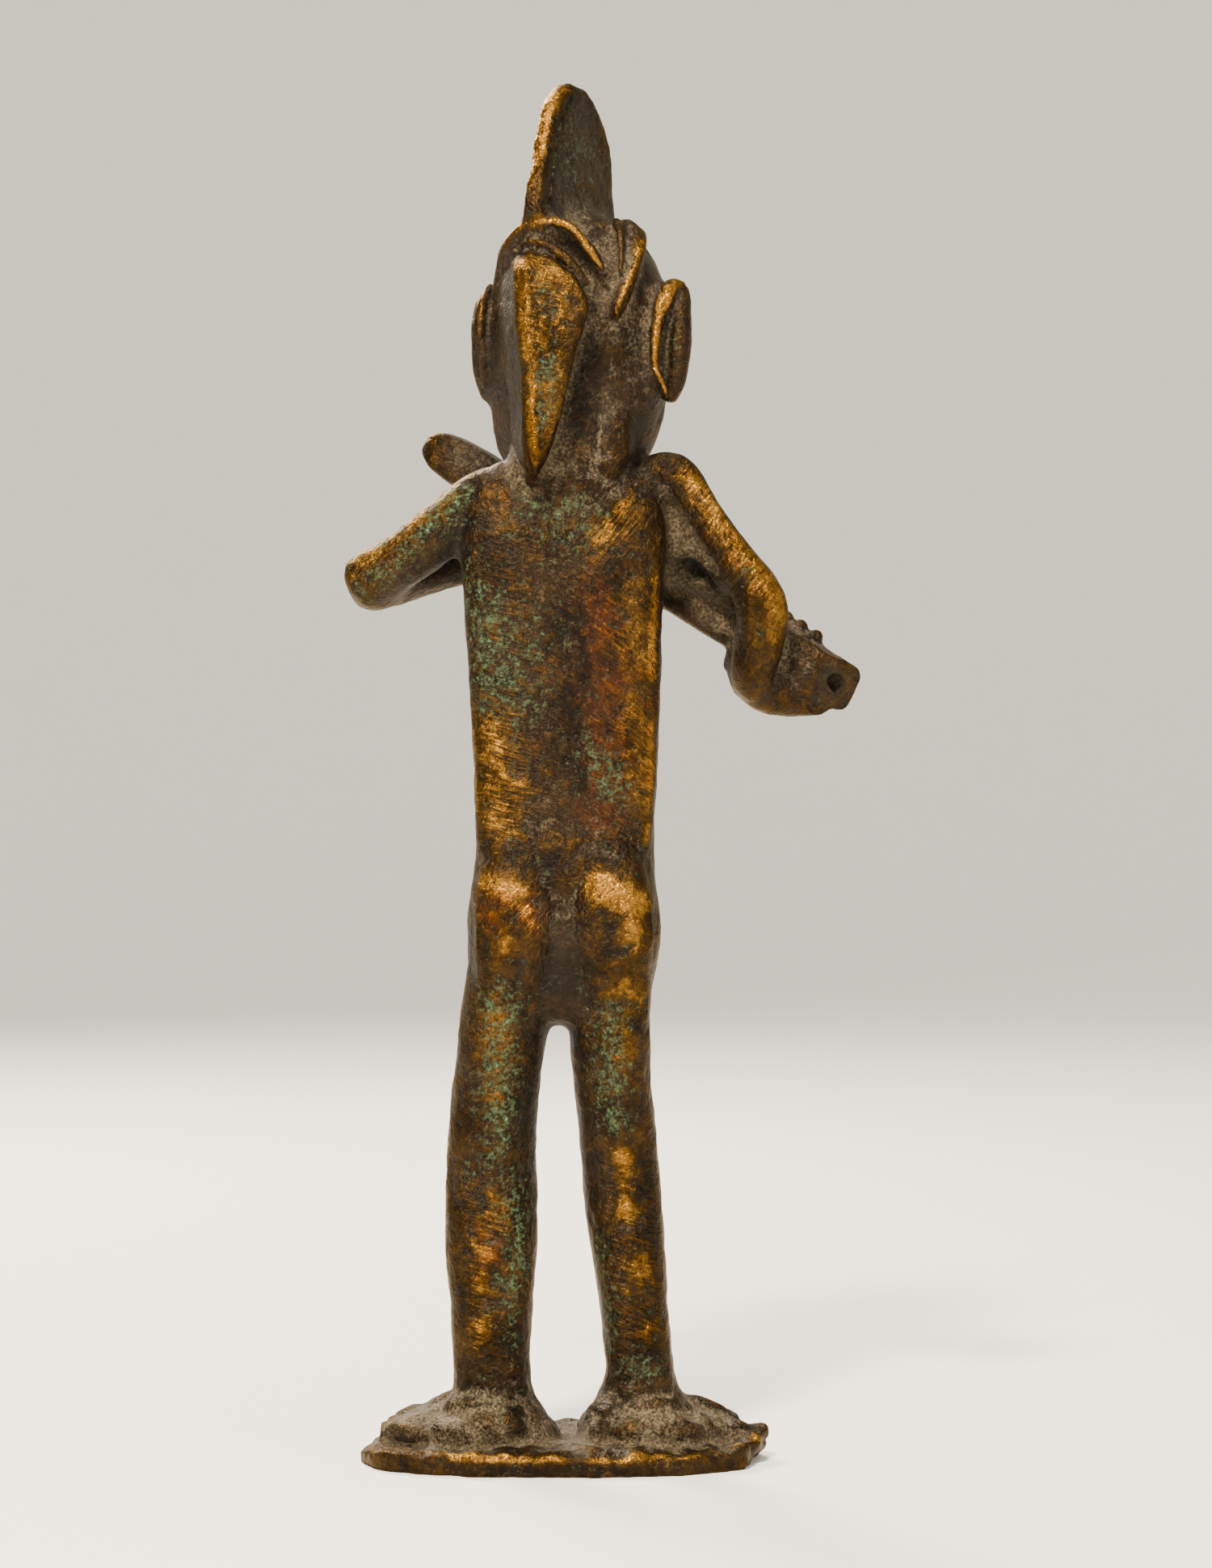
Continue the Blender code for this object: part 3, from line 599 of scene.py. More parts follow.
gouges = [
    # under the arch lock, above the plait
    [(6.4, 9.6, 144.6, 0.6), (4.4, 11.2, 147.4, 0.7), (1.2, 12.4, 147.1, 0.8),
     (-1.6, 12.8, 145.2, 0.8), (-3.6, 12.4, 142.6, 0.7)],
    # between the two locks behind the right ear
    [(-8.0, 3.6, 150.0, 0.5), (-8.5, 6.4, 147.6, 0.6), (-8.2, 8.4, 144.8, 0.6), (-7.5, 9.6, 142.0, 0.45)],
    # the step in front of the lock behind the right ear
    [(-6.0, 6.2, 148.0, 0.8), (-5.9, 8.6, 144.8, 0.9), (-5.2, 10.0, 141.2, 0.8)],
    # the trough of the right ear
    [(-13.2, 6.8, 138.4, 0.5), (-12.6, 7.3, 136.6, 0.7), (-12.3, 7.4, 133.6, 0.75),
     (-12.5, 7.1, 130.4, 0.6)],
    # the edge of the neck cord
    [(-8.6, 5.0, 128.0, 0.7), (-9.6, 5.6, 124.4, 1.0), (-9.2, 6.2, 120.8, 1.0), (-8.0, 7.0, 118.6, 0.7)],
    # the trough of the left ear
    [(10.9, 1.0, 139.6, 0.5), (11.2, 1.0, 135.6, 0.6), (10.9, 0.2, 131.6, 0.5)],
    # between the buttocks
    [(0.1, 8.6, 66.6, 0.7), (0.2, 8.8, 63.0, 1.5), (0.3, 8.0, 57.0, 1.9), (0.6, 6.8, 51.5, 1.8)],
    # wrinkles across the ankles
    [(5.0, 5.9, 10.2, 0.6), (8.8, 6.2, 9.6, 0.6), (12.6, 5.4, 9.9, 0.5)],
    [(5.4, 6.2, 7.6, 0.6), (8.8, 6.6, 7.2, 0.7), (12.9, 5.6, 7.6, 0.5)],
    [(-6.0, 5.3, 9.8, 0.5), (-9.4, 6.0, 9.2, 0.6), (-12.8, 5.0, 9.6, 0.5)],
    [(-6.2, 5.8, 7.4, 0.5), (-9.4, 6.4, 7.0, 0.6), (-13.0, 5.4, 7.4, 0.5)],
    # between the lips
    [on_face(-3.0, -11.6, 123.9, 0.3), on_face(0.0, -13.1, 123.8, 0.35),
     on_face(3.0, -11.6, 123.9, 0.3)],
    # the quirk between the crest's bead and its broad face
    [on_crest(-1.35, 11.6, 151.4, 0.4), on_crest(-1.3, 10.2, 154.6, 0.45),
     on_crest(-1.3, 9.2, 157.2, 0.45), on_crest(-1.25, 8.0, 160.4, 0.45),
     on_crest(-1.2, 6.4, 163.0, 0.45), on_crest(-1.1, 4.2, 165.2, 0.4)],
    # the nick in the crest's bead
    [on_crest(1.4, 12.6, 152.6, 0.7), on_crest(1.3, 11.6, 154.0, 0.6)],
    # the nick in the right ear's rim
    [(-12.6, 7.2, 137.4, 0.35), (-11.2, 7.0, 137.0, 0.35)],
]
for groove in gouges:
    axis, gap, radius = nearest(points, groove)
    inside = gap < radius
    away = (points[inside] - axis[inside]) / np.maximum(gap[inside], 1e-6)[:, None]
    points[inside] = axis[inside] + away * radius[inside][:, None]

# A file flat: the middle, the way it faces, its reach, and how deep the file went.
flats = [
    ((5.0, 7.2, 69.4), (0.05, 0.90, 0.43), 5.0, 0.50),
    ((4.0, 7.8, 63.4), (-0.25, 0.95, 0.10), 4.4, 0.45),
    ((8.2, 7.2, 62.6), (0.42, 0.90, -0.05), 4.6, 0.50),
    ((6.4, 6.4, 57.0), (0.10, 0.94, -0.32), 4.6, 0.40),
    ((-4.6, 7.3, 69.0), (0.02, 0.90, 0.44), 5.4, 0.60),
    ((-6.6, 7.9, 63.4), (-0.10, 0.99, -0.05), 4.6, 0.50),
    ((-10.2, 5.6, 63.0), (-0.72, 0.69, 0.05), 5.2, 0.45),
    ((-7.0, 6.2, 57.2), (-0.15, 0.92, -0.36), 4.8, 0.45),
    ((8.8, 5.2, 28.0), (0.05, 0.99, 0.10), 4.6, 0.50),
    ((8.9, 5.4, 20.5), (-0.05, 0.99, -0.08), 5.6, 0.45),
    ((-8.4, 4.2, 29.5), (-0.10, 0.99, 0.05), 4.8, 0.50),
    ((-8.8, 4.9, 19.5), (-0.25, 0.96, -0.05), 6.0, 0.45),
    ((-13.8, 4.0, 120.2), (-0.10, 0.86, 0.50), 4.0, 0.55),
    ((-18.4, 3.9, 113.2), (-0.30, 0.90, 0.30), 5.2, 0.50),
    ((-7.8, 5.8, 114.0), (-0.10, 0.97, 0.20), 6.0, 0.45),
    ((15.0, 3.6, 114.0), (0.25, 0.80, 0.55), 6.5, 0.45),
]
for middle, facing, reach, depth in flats:
    facing = np.array(facing) / np.linalg.norm(facing)
    gap = np.linalg.norm(points - middle, axis=1)
    near = (gap < reach) & (outward @ facing > 0.2)
    if not near.any():
        continue
    height = (points - middle) @ facing
    level = height[near].max() - depth
    hold = np.clip((reach - gap) / (0.3 * reach), 0, 1)
    cut = np.where(near & (height > level), (height - level) * hold, 0)
    points -= cut[:, None] * facing

# The pipe's end broke on a slant, so its square bore shows from behind.
BREAK_LEAN = 0.95  # how far the break turns towards the back
BREAK_FORWARD = 2.6  # mm, where the break lies, in front of the pipe's open end
BREAK_DEPTH = 5.5  # mm, how far along the pipe it can reach
BREAK_ROUND = 4.8  # mm from the pipe's middle line
way = np.array(pipe_way)
from_end = points - np.array(pipe_low)
along = from_end @ way
aside = np.linalg.norm(from_end - along[:, None] * way, axis=1)
slant = np.array((0.0, BREAK_LEAN, 0.0)) - way
reach = (from_end + (0, BREAK_FORWARD, 0)) @ slant
broken = (aside < BREAK_ROUND) & (along < BREAK_DEPTH) & (reach > 0)
points[broken] += (reach[broken] / -(slant @ way))[:, None] * way

# Small flats that the hammer and the file left all over, between the ridges.
SMALL_FLATS = 420
chance = np.random.default_rng(11)
for pick in chance.choice(len(points), SMALL_FLATS, replace=False):
    middle, facing = points[pick].copy(), outward[pick]
    if middle[2] < 6 or middle[1] < -7:
        continue
    reach = chance.uniform(1.0, 2.6)
    near = np.linalg.norm(points - middle, axis=1) < reach
    height = (points[near] - middle) @ facing
    hold = np.clip((reach - np.linalg.norm(points[near] - middle, axis=1)) / (0.25 * reach), 0, 1)
    cut = np.where(height < 0.2, np.maximum(height + chance.uniform(0.04, 0.11), 0), 0) * hold
    points[near] -= cut[:, None] * facing

# A dent: its middle, its reach and its depth, in mm.
dents = [
    ((6.6, 5.6, 23.9), 1.3, 0.35),
    ((24.0, 1.4, 106.4), 1.2, 0.35),
    ((10.4, 4.6, 44.0), 1.6, 0.2),
    ((-7.0, 4.6, 46.0), 1.8, 0.2),
    ((0.6, 6.2, 70.8), 1.6, 0.25),
]
for middle, reach, depth in dents:
    gap = np.linalg.norm(points - middle, axis=1)
    sink = depth * np.exp(-(gap / reach) ** 2)
    points -= sink[:, None] * outward

# The skin of the casting: soft lumps some 5 mm across and finer ones of 1.6 mm. There
# are more of both, and folds, on the plate and the feet, which were never filed.
lumps = np.array([noise.noise(Vector(p) / 5.0) for p in points])
grain = np.array([noise.noise(Vector(p) / 1.6 + Vector((7, 3, 5))) for p in points])
folds = np.array([noise.noise(Vector(p) / 2.6 + Vector((1, 8, 2))) for p in points])
raw = np.clip((7.0 - points[:, 2]) / 3.5, 0, 1)
rise = 0.20 * lumps * (1 + 1.2 * raw) + 0.09 * grain * (1 + 1.6 * raw) + 0.60 * folds * raw
points += rise[:, None] * outward

# The plate runs out thin at the figure's left.
tip = np.clip((points[:, 0] - 22.6) / 2.4, 0, 1) * (points[:, 2] < 4)
points[:, 2] = np.where(tip > 0, np.minimum(points[:, 2], -SOLES + 2.5 - 1.2 * tip), points[:, 2])

underside = points[:, 2] < -SOLES + 0.30
points[underside, 2] = -SOLES
low = np.array(cad_box[0]) * 1000 - (0, 0, SOLES)
high = np.array(cad_box[1]) * 1000 - (0, 0, SOLES)
points = np.clip(points, low, high)
put_points(points)

MOST_TRIANGLES = 188000
thinning = casting.modifiers.new("thinning", "DECIMATE")
casting.data.calc_loop_triangles()
thinning.ratio = min(1, MOST_TRIANGLES / len(casting.data.loop_triangles))
bpy.ops.object.modifier_apply(modifier=thinning.name)
bpy.ops.object.shade_smooth()

# The patina. The skin is brown where it was left alone, golden where hands and the
# file reached, green where it corroded and grey-brown where dust sits. Hollows and
# shadowed places are also given painted shade, near-black.
points, outward = skin_points()
edges = np.zeros(len(casting.data.edges) * 2, int)
casting.data.edges.foreach_get("vertices", edges)
edges = edges.reshape(-1, 2)
valence = np.bincount(edges.ravel(), minlength=len(points))


def eased(values, rounds):
    """Values on the skin, averaged with their neighbours a number of times."""
    for _ in range(rounds):
        total = np.stack([
            np.bincount(edges[:, 0], values[edges[:, 1], k], len(points))
            + np.bincount(edges[:, 1], values[edges[:, 0], k], len(points))
            for k in range(values.shape[1])
        ], axis=1)
        values = 0.5 * values + 0.5 * total / np.maximum(valence, 1)[:, None]
    return values


near_copy = eased(points, 6)
wide_copy = eased(near_copy, 60)
ridge = np.clip(((near_copy - points) * -outward).sum(1) / 0.035, -1, 1)
swell = np.clip(((wide_copy - near_copy) * -outward).sum(1) / 0.35, -1, 1)

# How shut in each point is, by rays: dust settles there, rubbing misses it, and painted shade darkens it.
tree = BVHTree.FromObject(casting, bpy.context.evaluated_depsgraph_get())
RAYS = 14
RAY_REACH = 0.014  # m
GOLDEN_ANGLE = 2.39996
spread = []
for step in range(RAYS):
    height = (step + 0.5) / RAYS
    turn = step * GOLDEN_ANGLE
    across = (1 - height * height) ** 0.5
    spread.append(Vector((across * cos(turn), across * sin(turn), height)))
shut = np.zeros(len(points))
starts = (points + outward * 0.12 + (0, 0, SOLES)) / 1000
for i, (start, normal) in enumerate(zip(starts.tolist(), outward.tolist())):
    upright = Vector(normal).to_track_quat("Z", "Y")
    for ray in spread:
        if tree.ray_cast(start, upright @ ray, RAY_REACH)[0] is not None:
            shut[i] += 1 / RAYS
shut = eased(shut[:, None], 2)[:, 0]


def wash(strokes):
    """How strongly a set of patches covers each point. A patch is a strength and a path."""
    cover = np.zeros(len(points))
    for strength, path in strokes:
        _, gap, radius = nearest(points, path)
        cover = np.maximum(cover, strength * np.exp(-(gap / np.maximum(radius, 0.01)) ** 2))
    return cover


rubbed = wash([
    (1.3, [on_crest(0.3, 12.6, 152.2, 0.4), on_crest(0.5, 11.4, 155.0, 0.85),
           on_crest(0.6, 9.6, 160.4, 1.0), on_crest(0.5, 8.2, 163.0, 1.0),
           on_crest(0.2, 4.8, 166.2, 0.9)]),
    (0.5, [(6.7, 7.9, 146.5, 0.4), (4.8, 10.2, 148.6, 0.5)]),
    (0.95, [(3.8, 10.6, 148.7, 0.5), (1.2, 11.4, 149.0, 0.65), (-1.3, 11.8, 147.9, 0.65),
            (-4.6, 11.2, 143.6, 0.5)]),
    (0.75, [(-9.6, 5.6, 147.0, 0.5), (-8.9, 7.6, 144.4, 0.55), (-7.0, 10.1, 139.6, 0.5),
            (-6.5, 10.1, 138.0, 0.4)]),
    (0.95, [(4.0, 12.2, 145.6, 1.0), (3.0, 13.2, 144.2, 1.2)]),
    (0.55, [(1.8, 14.4, 142.0, 2.4), (1.2, 14.8, 137.0, 2.7), (1.8, 14.6, 131.0, 2.2),
            (2.6, 13.4, 124.0, 1.8), (3.4, 11.8, 118.8, 1.3)]),
    (1.0, [(5.0, 12.4, 144.4, 0.9), (5.0, 13.9, 140.0, 0.9), (4.7, 13.9, 134.0, 0.8),
           (4.2, 13.2, 127.0, 0.8), (3.8, 12.0, 120.6, 0.8)]),
    (1.0, [(-14.0, 4.9, 142.2, 0.8), (-12.6, 6.4, 140.4, 1.1), (-11.9, 7.2, 138.0, 0.9),
           (-11.4, 7.3, 134.4, 0.6), (-11.4, 7.1, 131.2, 0.5), (-12.6, 6.0, 128.8, 0.4)]),
    (0.5, [(9.6, 0.9, 141.4, 0.5), (10.3, 1.3, 138.6, 0.6), (10.4, 1.2, 136.4, 0.4)]),
    (0.95, [(-14.0, 4.4, 120.8, 1.3), (-16.8, 3.9, 117.4, 1.5), (-21.0, 3.4, 110.6, 1.4),
            (-24.8, 3.6, 105.4, 1.8)]),
    (0.8, [(-25.6, 3.4, 103.6, 2.0), (-25.4, 2.4, 99.0, 1.4)]),
    (0.5, [(12.0, 3.6, 117.4, 0.8), (17.0, 2.8, 113.4, 0.9), (24.0, 1.6, 108.4, 1.0),
           (27.2, -0.6, 105.6, 1.2)]),
    (0.8, [(-11.2, 4.8, 107.0, 0.6), (-11.1, 5.0, 100.0, 0.8), (-11.0, 5.0, 94.0, 0.9)]),
    (0.5, [(-11.4, 4.4, 113.0, 0.6), (-11.2, 4.6, 104.0, 0.7)]),
    (0.6, [(-10.9, 4.9, 88.0, 0.8), (-10.8, 4.8, 84.0, 1.0), (-10.6, 4.6, 74.0, 0.8)]),
    (0.32, [(-8.0, 6.2, 104.0, 2.6), (-8.4, 6.2, 92.0, 3.0), (-8.6, 6.0, 80.0, 2.6)]),
    (0.7, [(-9.0, 6.4, 117.2, 1.9), (-6.4, 6.6, 113.6, 2.0), (-4.6, 6.6, 110.8, 1.6)]),
    (0.55, [(8.6, 6.0, 88.0, 2.0), (8.0, 6.0, 82.0, 3.4), (7.2, 6.0, 76.0, 3.2)]),
    (0.8, [(11.4, 3.6, 90.0, 0.8), (11.0, 3.6, 78.0, 1.0)]),
    (0.75, [(9.4, 6.4, 68.6, 1.4), (5.6, 7.6, 67.6, 1.6), (3.6, 8.0, 64.0, 1.0)]),
    (0.5, [(9.0, 7.6, 64.0, 2.0), (7.6, 8.0, 61.0, 1.8)]),
    (1.2, [(-3.8, 7.6, 68.6, 1.7), (-7.0, 8.2, 66.8, 1.7), (-9.8, 6.6, 66.0, 1.3)]),
    (0.6, [(-8.4, 7.6, 62.4, 2.4)]),
    (0.4, [(-7.6, 6.0, 56.0, 2.4), (-7.2, 5.0, 46.0, 1.4)]),
    (0.35, [(8.0, 6.0, 54.0, 2.0), (8.4, 5.6, 42.0, 1.4)]),
    (0.7, [(8.6, 5.6, 29.6, 1.8), (9.6, 6.0, 24.0, 1.8)]),
    (0.45, [(9.8, 6.0, 20.0, 1.7), (9.8, 5.6, 12.0, 1.2)]),
    (1.2, [(-7.6, 4.8, 35.0, 1.1), (-8.0, 5.0, 28.0, 1.3)]),
    (0.5, [(-9.6, 5.2, 22.0, 1.5), (-10.2, 5.2, 13.0, 1.1)]),
    (1.2, [(23.8, -3.0, -1.5, 0.7), (21.0, 6.0, -1.0, 0.6), (12.0, 11.8, -0.8, 0.6),
           (0.0, 13.0, -0.6, 0.6)]),
    (1.2, [(-4.0, 13.2, -0.7, 0.6), (-16.0, 10.4, -0.4, 0.6), (-24.6, 2.0, 0.6, 0.8)]),
    (0.5, [(9.8, 7.8, 3.6, 1.0), (-9.8, 7.6, 3.4, 0.9)]),
    (0.8, [(-36.4, -2.4, 93.6, 1.5), (-35.6, -1.0, 90.4, 1.2)]),
    (0.5, [(17.8, -15.6, 126.6, 1.4), (19.8, -16.4, 124.6, 1.6)]),
    # the front, where a hand would close round it
    (0.36, [on_face(0, -14.6, 128.8, 1.6), on_face(0, -13.0, 136.0, 1.2)]),
    (0.30, [on_face(-5.6, -10.4, 129.0, 3.4)]),
    (0.30, [on_face(5.6, -10.4, 129.0, 3.4)]),
    (0.32, [(0.4, -6.4, 106.0, 4.6), (-0.2, -6.2, 70.0, 4.6)]),
    (0.34, [(8.8, -6.0, 46.0, 2.4), (9.0, -5.8, 12.0, 2.2)]),
    (0.34, [(-7.2, -5.8, 46.0, 2.3), (-8.6, -5.4, 12.0, 2.0)]),
    (0.5, [(3.0, -15.4, -0.8, 0.7), (18.0, -12.8, -0.8, 0.7)]),
])
corroded = wash([
    (0.75, [(11.0, 5.0, 106.0, 2.6), (9.4, 6.0, 100.0, 3.8), (9.0, 6.0, 92.0, 3.4)]),
    (0.55, [(4.6, 6.6, 100.0, 3.0), (5.0, 6.6, 90.0, 3.0)]),
    (0.75, [(-3.6, 6.4, 84.4, 2.2), (-6.4, 6.4, 80.0, 3.0)]),
    (0.6, [(2.4, 6.6, 114.0, 4.2), (-3.0, 6.6, 112.6, 3.4)]),
    (0.8, [(13.0, 3.4, 116.0, 3.0), (18.0, 2.4, 110.0, 3.0), (24.0, 1.0, 104.6, 2.6)]),
    (0.85, [(7.8, 5.6, 54.0, 3.0), (7.6, 4.8, 44.0, 3.0), (8.0, 4.8, 36.0, 2.6)]),
    (0.8, [(-5.8, 5.2, 52.0, 2.6), (-6.0, 4.8, 40.0, 2.8)]),
    (0.85, [(5.6, 5.0, 32.0, 2.4), (4.8, 4.6, 24.0, 2.4), (6.0, 4.8, 17.0, 2.0)]),
    (0.85, [(-4.8, 3.2, 24.0, 2.0), (-5.4, 3.2, 13.0, 2.2)]),
    (0.7, [(11.6, 5.0, 33.0, 1.6)]),
    (0.75, [(-8.6, 4.8, 9.4, 2.0), (-11.0, 4.4, 8.4, 1.8)]),
    (0.6, [(6.0, 5.6, 16.0, 1.8), (5.6, 5.2, 10.0, 1.6)]),
    (0.55, [(9.0, 6.0, 3.0, 4.0), (16.0, -4.0, 2.0, 4.0)]),
    (0.55, [(-9.0, 6.0, 3.0, 4.0), (-17.0, -4.0, 2.0, 4.0)]),
    (0.55, [on_crest(-1.6, 4.0, 158.0, 5.0)]),
    (0.5, [on_crest(1.6, 0.0, 158.0, 5.0)]),
    (0.95, [(-13.1, 6.4, 137.4, 0.9), (-13.0, 6.6, 131.0, 1.1)]),
    (0.75, [(2.8, 14.4, 141.6, 1.4), (2.4, 14.6, 139.0, 1.2)]),
    (0.9, [(1.6, 14.4, 131.6, 1.7), (1.8, 13.8, 126.0, 1.8), (2.4, 13.0, 123.6, 1.2)]),
    (0.8, [(-22.2, 3.8, 107.2, 1.4), (-23.6, 3.8, 105.6, 1.4)]),
    (0.7, [(-24.6, 3.4, 99.6, 1.4)]),
    (0.7, [(-8.3, 7.6, 146.0, 0.8), (-8.2, 8.4, 143.6, 0.8)]),
    (0.5, [(-10.6, 5.6, 144.4, 1.6)]),
    (0.5, [(-13.6, -2.6, 107.0, 3.0), (-20.0, -2.0, 101.0, 3.0)]),
    (0.5, [(4.0, -6.4, 96.0, 4.0)]),
    (0.5, [(-6.0, -6.4, 74.0, 4.0)]),
    (0.5, [on_face(-9.0, -6.0, 132.0, 3.0)]),
    (0.5, [(9.0, -5.6, 46.0, 3.0), (-6.4, -5.6, 28.0, 2.6)]),
])
dusty = wash([
    (0.65, [(-5.6, 8.6, 146.4, 3.0), (-7.4, 7.6, 138.0, 3.4)]),
    (0.35, [(-7.4, 7.6, 138.0, 3.4), (-7.8, 6.6, 130.0, 4.0)]),
    (0.75, [(6.6, 5.0, 121.0, 3.6), (1.4, 6.4, 119.4, 3.6), (-5.0, 6.4, 121.0, 4.0)]),
    (0.9, [(-13.8, 0.6, 113.6, 3.4), (-17.0, 0.6, 109.6, 2.6)]),
    (0.8, [(-13.0, -1.6, 106.0, 3.4), (-20.0, -1.8, 100.6, 2.8)]),
    (0.7, [(-28.0, -2.6, 99.0, 3.6), (-34.0, -2.0, 96.0, 2.8)]),
    (0.8, [(12.0, -13.6, 123.4, 4.4)]),
    (1.0, [(9.0, 3.0, 3.0, 4.0), (16.0, 1.0, 1.4, 5.0), (0.0, 4.0, 0.0, 5.0), (-16.0, 1.0, 1.4, 5.0)]),
    (1.0, [(-9.0, 3.0, 3.0, 4.0)]),
    (1.3, [(9.8, 7.4, 3.4, 3.8), (16.0, 4.6, 2.0, 3.6), (20.4, 0.4, 1.4, 3.0)]),
    (1.3, [(-9.8, 7.2, 3.4, 3.6), (-15.6, 4.6, 2.0, 3.4), (-19.6, 0.4, 1.4, 3.0)]),
    (0.6, [(0.0, -6.0, 0.6, 8.0)]),
    (0.6, [on_crest(-1.6, 6.0, 150.0, 3.4)]),
])
spared = wash([
    (1.0, [on_crest(0.4, 12.6, 149.6, 1.2)]),
    (0.6, [(7.6, 2.0, 145.0, 1.8), (6.6, 6.0, 147.6, 1.6)]),
    (0.8, [(9.0, 3.0, 2.0, 5.0), (18.0, -1.0, 1.0, 4.0)]),
    (0.8, [(-9.0, 3.0, 2.0, 5.0), (-17.0, -1.0, 1.0, 4.0)]),
    (1.0, [(-15.4, 5.4, 139.4, 1.3), (-15.3, 6.0, 135.0, 1.4), (-14.6, 5.2, 130.0, 1.3)]),
    (1.0, [(-15.9, 3.4, 140.0, 1.8), (-16.0, 3.6, 135.0, 2.0), (-15.2, 3.0, 129.6, 1.8)]),
    (0.8, [(11.2, -1.0, 140.0, 1.6), (11.4, -1.0, 134.0, 1.6)]),
    (1.0, [(-13.2, 6.4, 137.0, 0.9), (-13.2, 6.4, 131.0, 0.9)]),
    (1.0, [on_crest(-1.4, 7.0, 154.0, 2.6), on_crest(-1.4, 3.0, 160.0, 3.4),
           on_crest(-1.2, 0.0, 164.0, 2.6)]),
    (1.0, [(7.4, 8.0, 142.0, 2.4), (7.0, 9.0, 138.0, 2.4), (6.6, 8.4, 130.0, 2.4), (5.8, 7.6, 122.0, 2.0)]),
    (0.8, [(-5.6, 3.4, 124.0, 4.0), (-8.0, 0.0, 128.0, 4.0)]),
    (0.8, [(-12.8, 0.0, 106.0, 2.4), (-12.4, 0.0, 80.0, 2.4)]),
    (0.8, [(12.8, 2.4, 104.0, 2.4), (12.4, 2.4, 88.0, 2.0)]),
    (0.8, [(0.0, 8.0, 60.0, 2.0), (0.4, 6.0, 51.0, 2.4)]),
    (0.9, [(23.6, -3.0, -2.7, 1.0), (12.0, 11.8, -2.5, 1.1), (0.0, 13.0, -2.4, 1.1),
           (-16.0, 10.4, -2.3, 1.1), (-24.6, 2.0, -1.4, 1.0)]),
])
# Painted shadow: patches made near-black where shadow falls, on the plait's left wall, the jaw and neck, the
# crest's side, between the buttocks and the legs, under the left arm and in the pipe's bore.
painted_shadow_patches = wash([
    (0.9, [(7.4, 8.4, 141.0, 2.0), (7.0, 8.6, 136.0, 2.2), (6.6, 8.0, 129.0, 2.2), (5.6, 7.4, 121.0, 1.6)]),
    (0.7, [(8.4, 3.0, 134.0, 3.0), (8.0, 2.0, 126.0, 3.0)]),
    (0.6, [(-8.6, 2.0, 126.0, 2.6), (-7.4, 1.0, 120.0, 2.4)]),
    (0.6, [(0.2, 7.0, 62.0, 1.8), (0.4, 5.6, 54.0, 2.6)]),
    (0.5, [(4.4, 4.0, 44.0, 2.6), (3.6, 3.0, 34.0, 2.4)]),
    (0.5, [(-4.0, 3.0, 44.0, 2.6), (-4.0, 2.4, 34.0, 2.2)]),
    (0.5, [(2.6, 7.2, 117.6, 1.6)]),
    (0.7, [on_crest(-1.6, 9.6, 151.0, 1.2)]),
    (1.0, [(-36.0, -3.0, 92.0, 1.4), (-32.6, -3.9, 94.0, 1.8)]),
    (0.5, [(11.0, 4.0, 64.0, 2.4), (11.0, 3.0, 54.0, 2.4), (11.4, 3.0, 42.0, 2.4)]),
    (0.9, [(15.0, 3.4, 110.0, 3.4), (21.0, 2.4, 104.0, 3.0)]),
    (0.45, [(8.0, 5.0, 54.0, 4.4), (8.0, 5.0, 44.0, 4.0)]),
    (0.45, [on_crest(-1.6, 5.0, 156.0, 3.6), on_crest(-1.2, 2.0, 163.0, 3.6)]),
    (0.9, [(8.0, 9.6, 140.0, 2.4), (7.2, 9.0, 130.0, 2.4), (6.0, 8.4, 121.0, 1.8)]),
])
level_marks = wash([
    (1.0, [(6.6, 6.4, 106.0, 4.6), (6.6, 6.4, 76.0, 4.6)]),
    (0.5, [(-6.0, 6.4, 84.0, 4.6), (-6.0, 6.4, 76.0, 4.6)]),
    (0.6, [(2.0, 14.0, 142.0, 4.0), (2.6, 13.6, 124.0, 3.0)]),
    (0.7, [(9.0, 5.6, 30.0, 4.0), (9.4, 5.6, 14.0, 3.6)]),
    (0.7, [(-8.6, 5.0, 32.0, 3.6), (-9.6, 5.2, 14.0, 3.4)]),
    (0.6, [(0.0, -6.4, 108.0, 8.0), (0.0, -6.4, 66.0, 8.0)]),
])
slope_marks = wash([
    (1.0, [(-5.0, 6.4, 104.0, 4.4), (-6.0, 6.4, 76.0, 4.6)]),
    (0.7, [(0.6, 6.4, 104.0, 3.4), (0.6, 6.4, 76.0, 3.4)]),
    (0.6, [(9.0, 5.6, 46.0, 4.0), (-6.4, 5.6, 46.0, 3.6)]),
    (0.5, [(2.0, -6.4, 96.0, 6.0), (-2.0, -6.4, 76.0, 6.0)]),
])
steep_marks = wash([
    (1.0, [(-8.6, 6.4, 117.4, 3.0), (-6.6, 6.6, 113.6, 3.6), (-5.6, 6.6, 110.6, 3.0)]),
    (0.9, [(-13.6, 4.2, 120.4, 3.0), (-18.0, 4.0, 114.0, 3.0), (-23.6, 4.0, 106.0, 3.0)]),
    (0.6, [(13.0, 3.6, 116.0, 3.0), (24.0, 1.6, 107.6, 3.0)]),
    (0.6, [(-6.0, 8.0, 66.0, 3.6), (6.0, 8.0, 65.0, 3.6)]),
])
reddened = wash([
    (0.9, [(-3.8, 6.4, 104.0, 3.0), (-6.0, 6.4, 88.0, 4.0), (-4.0, 6.4, 76.0, 3.0)]),
    (0.8, [(8.0, 7.6, 65.0, 4.0), (3.4, 7.6, 66.0, 2.6)]),
    (0.7, [(9.0, 5.4, 24.0, 3.4)]),
    (0.6, [(-11.0, 4.4, 100.0, 1.6), (-10.8, 4.4, 78.0, 1.6)]),
    (0.6, [(3.0, 6.6, 116.0, 4.0)]),
    (0.5, [(-20.0, 3.0, 110.0, 3.0)]),
    (0.6, [(0.0, -6.4, 88.0, 6.0)]),
    (0.6, [on_face(0.0, -11.0, 126.0, 6.0)]),
])

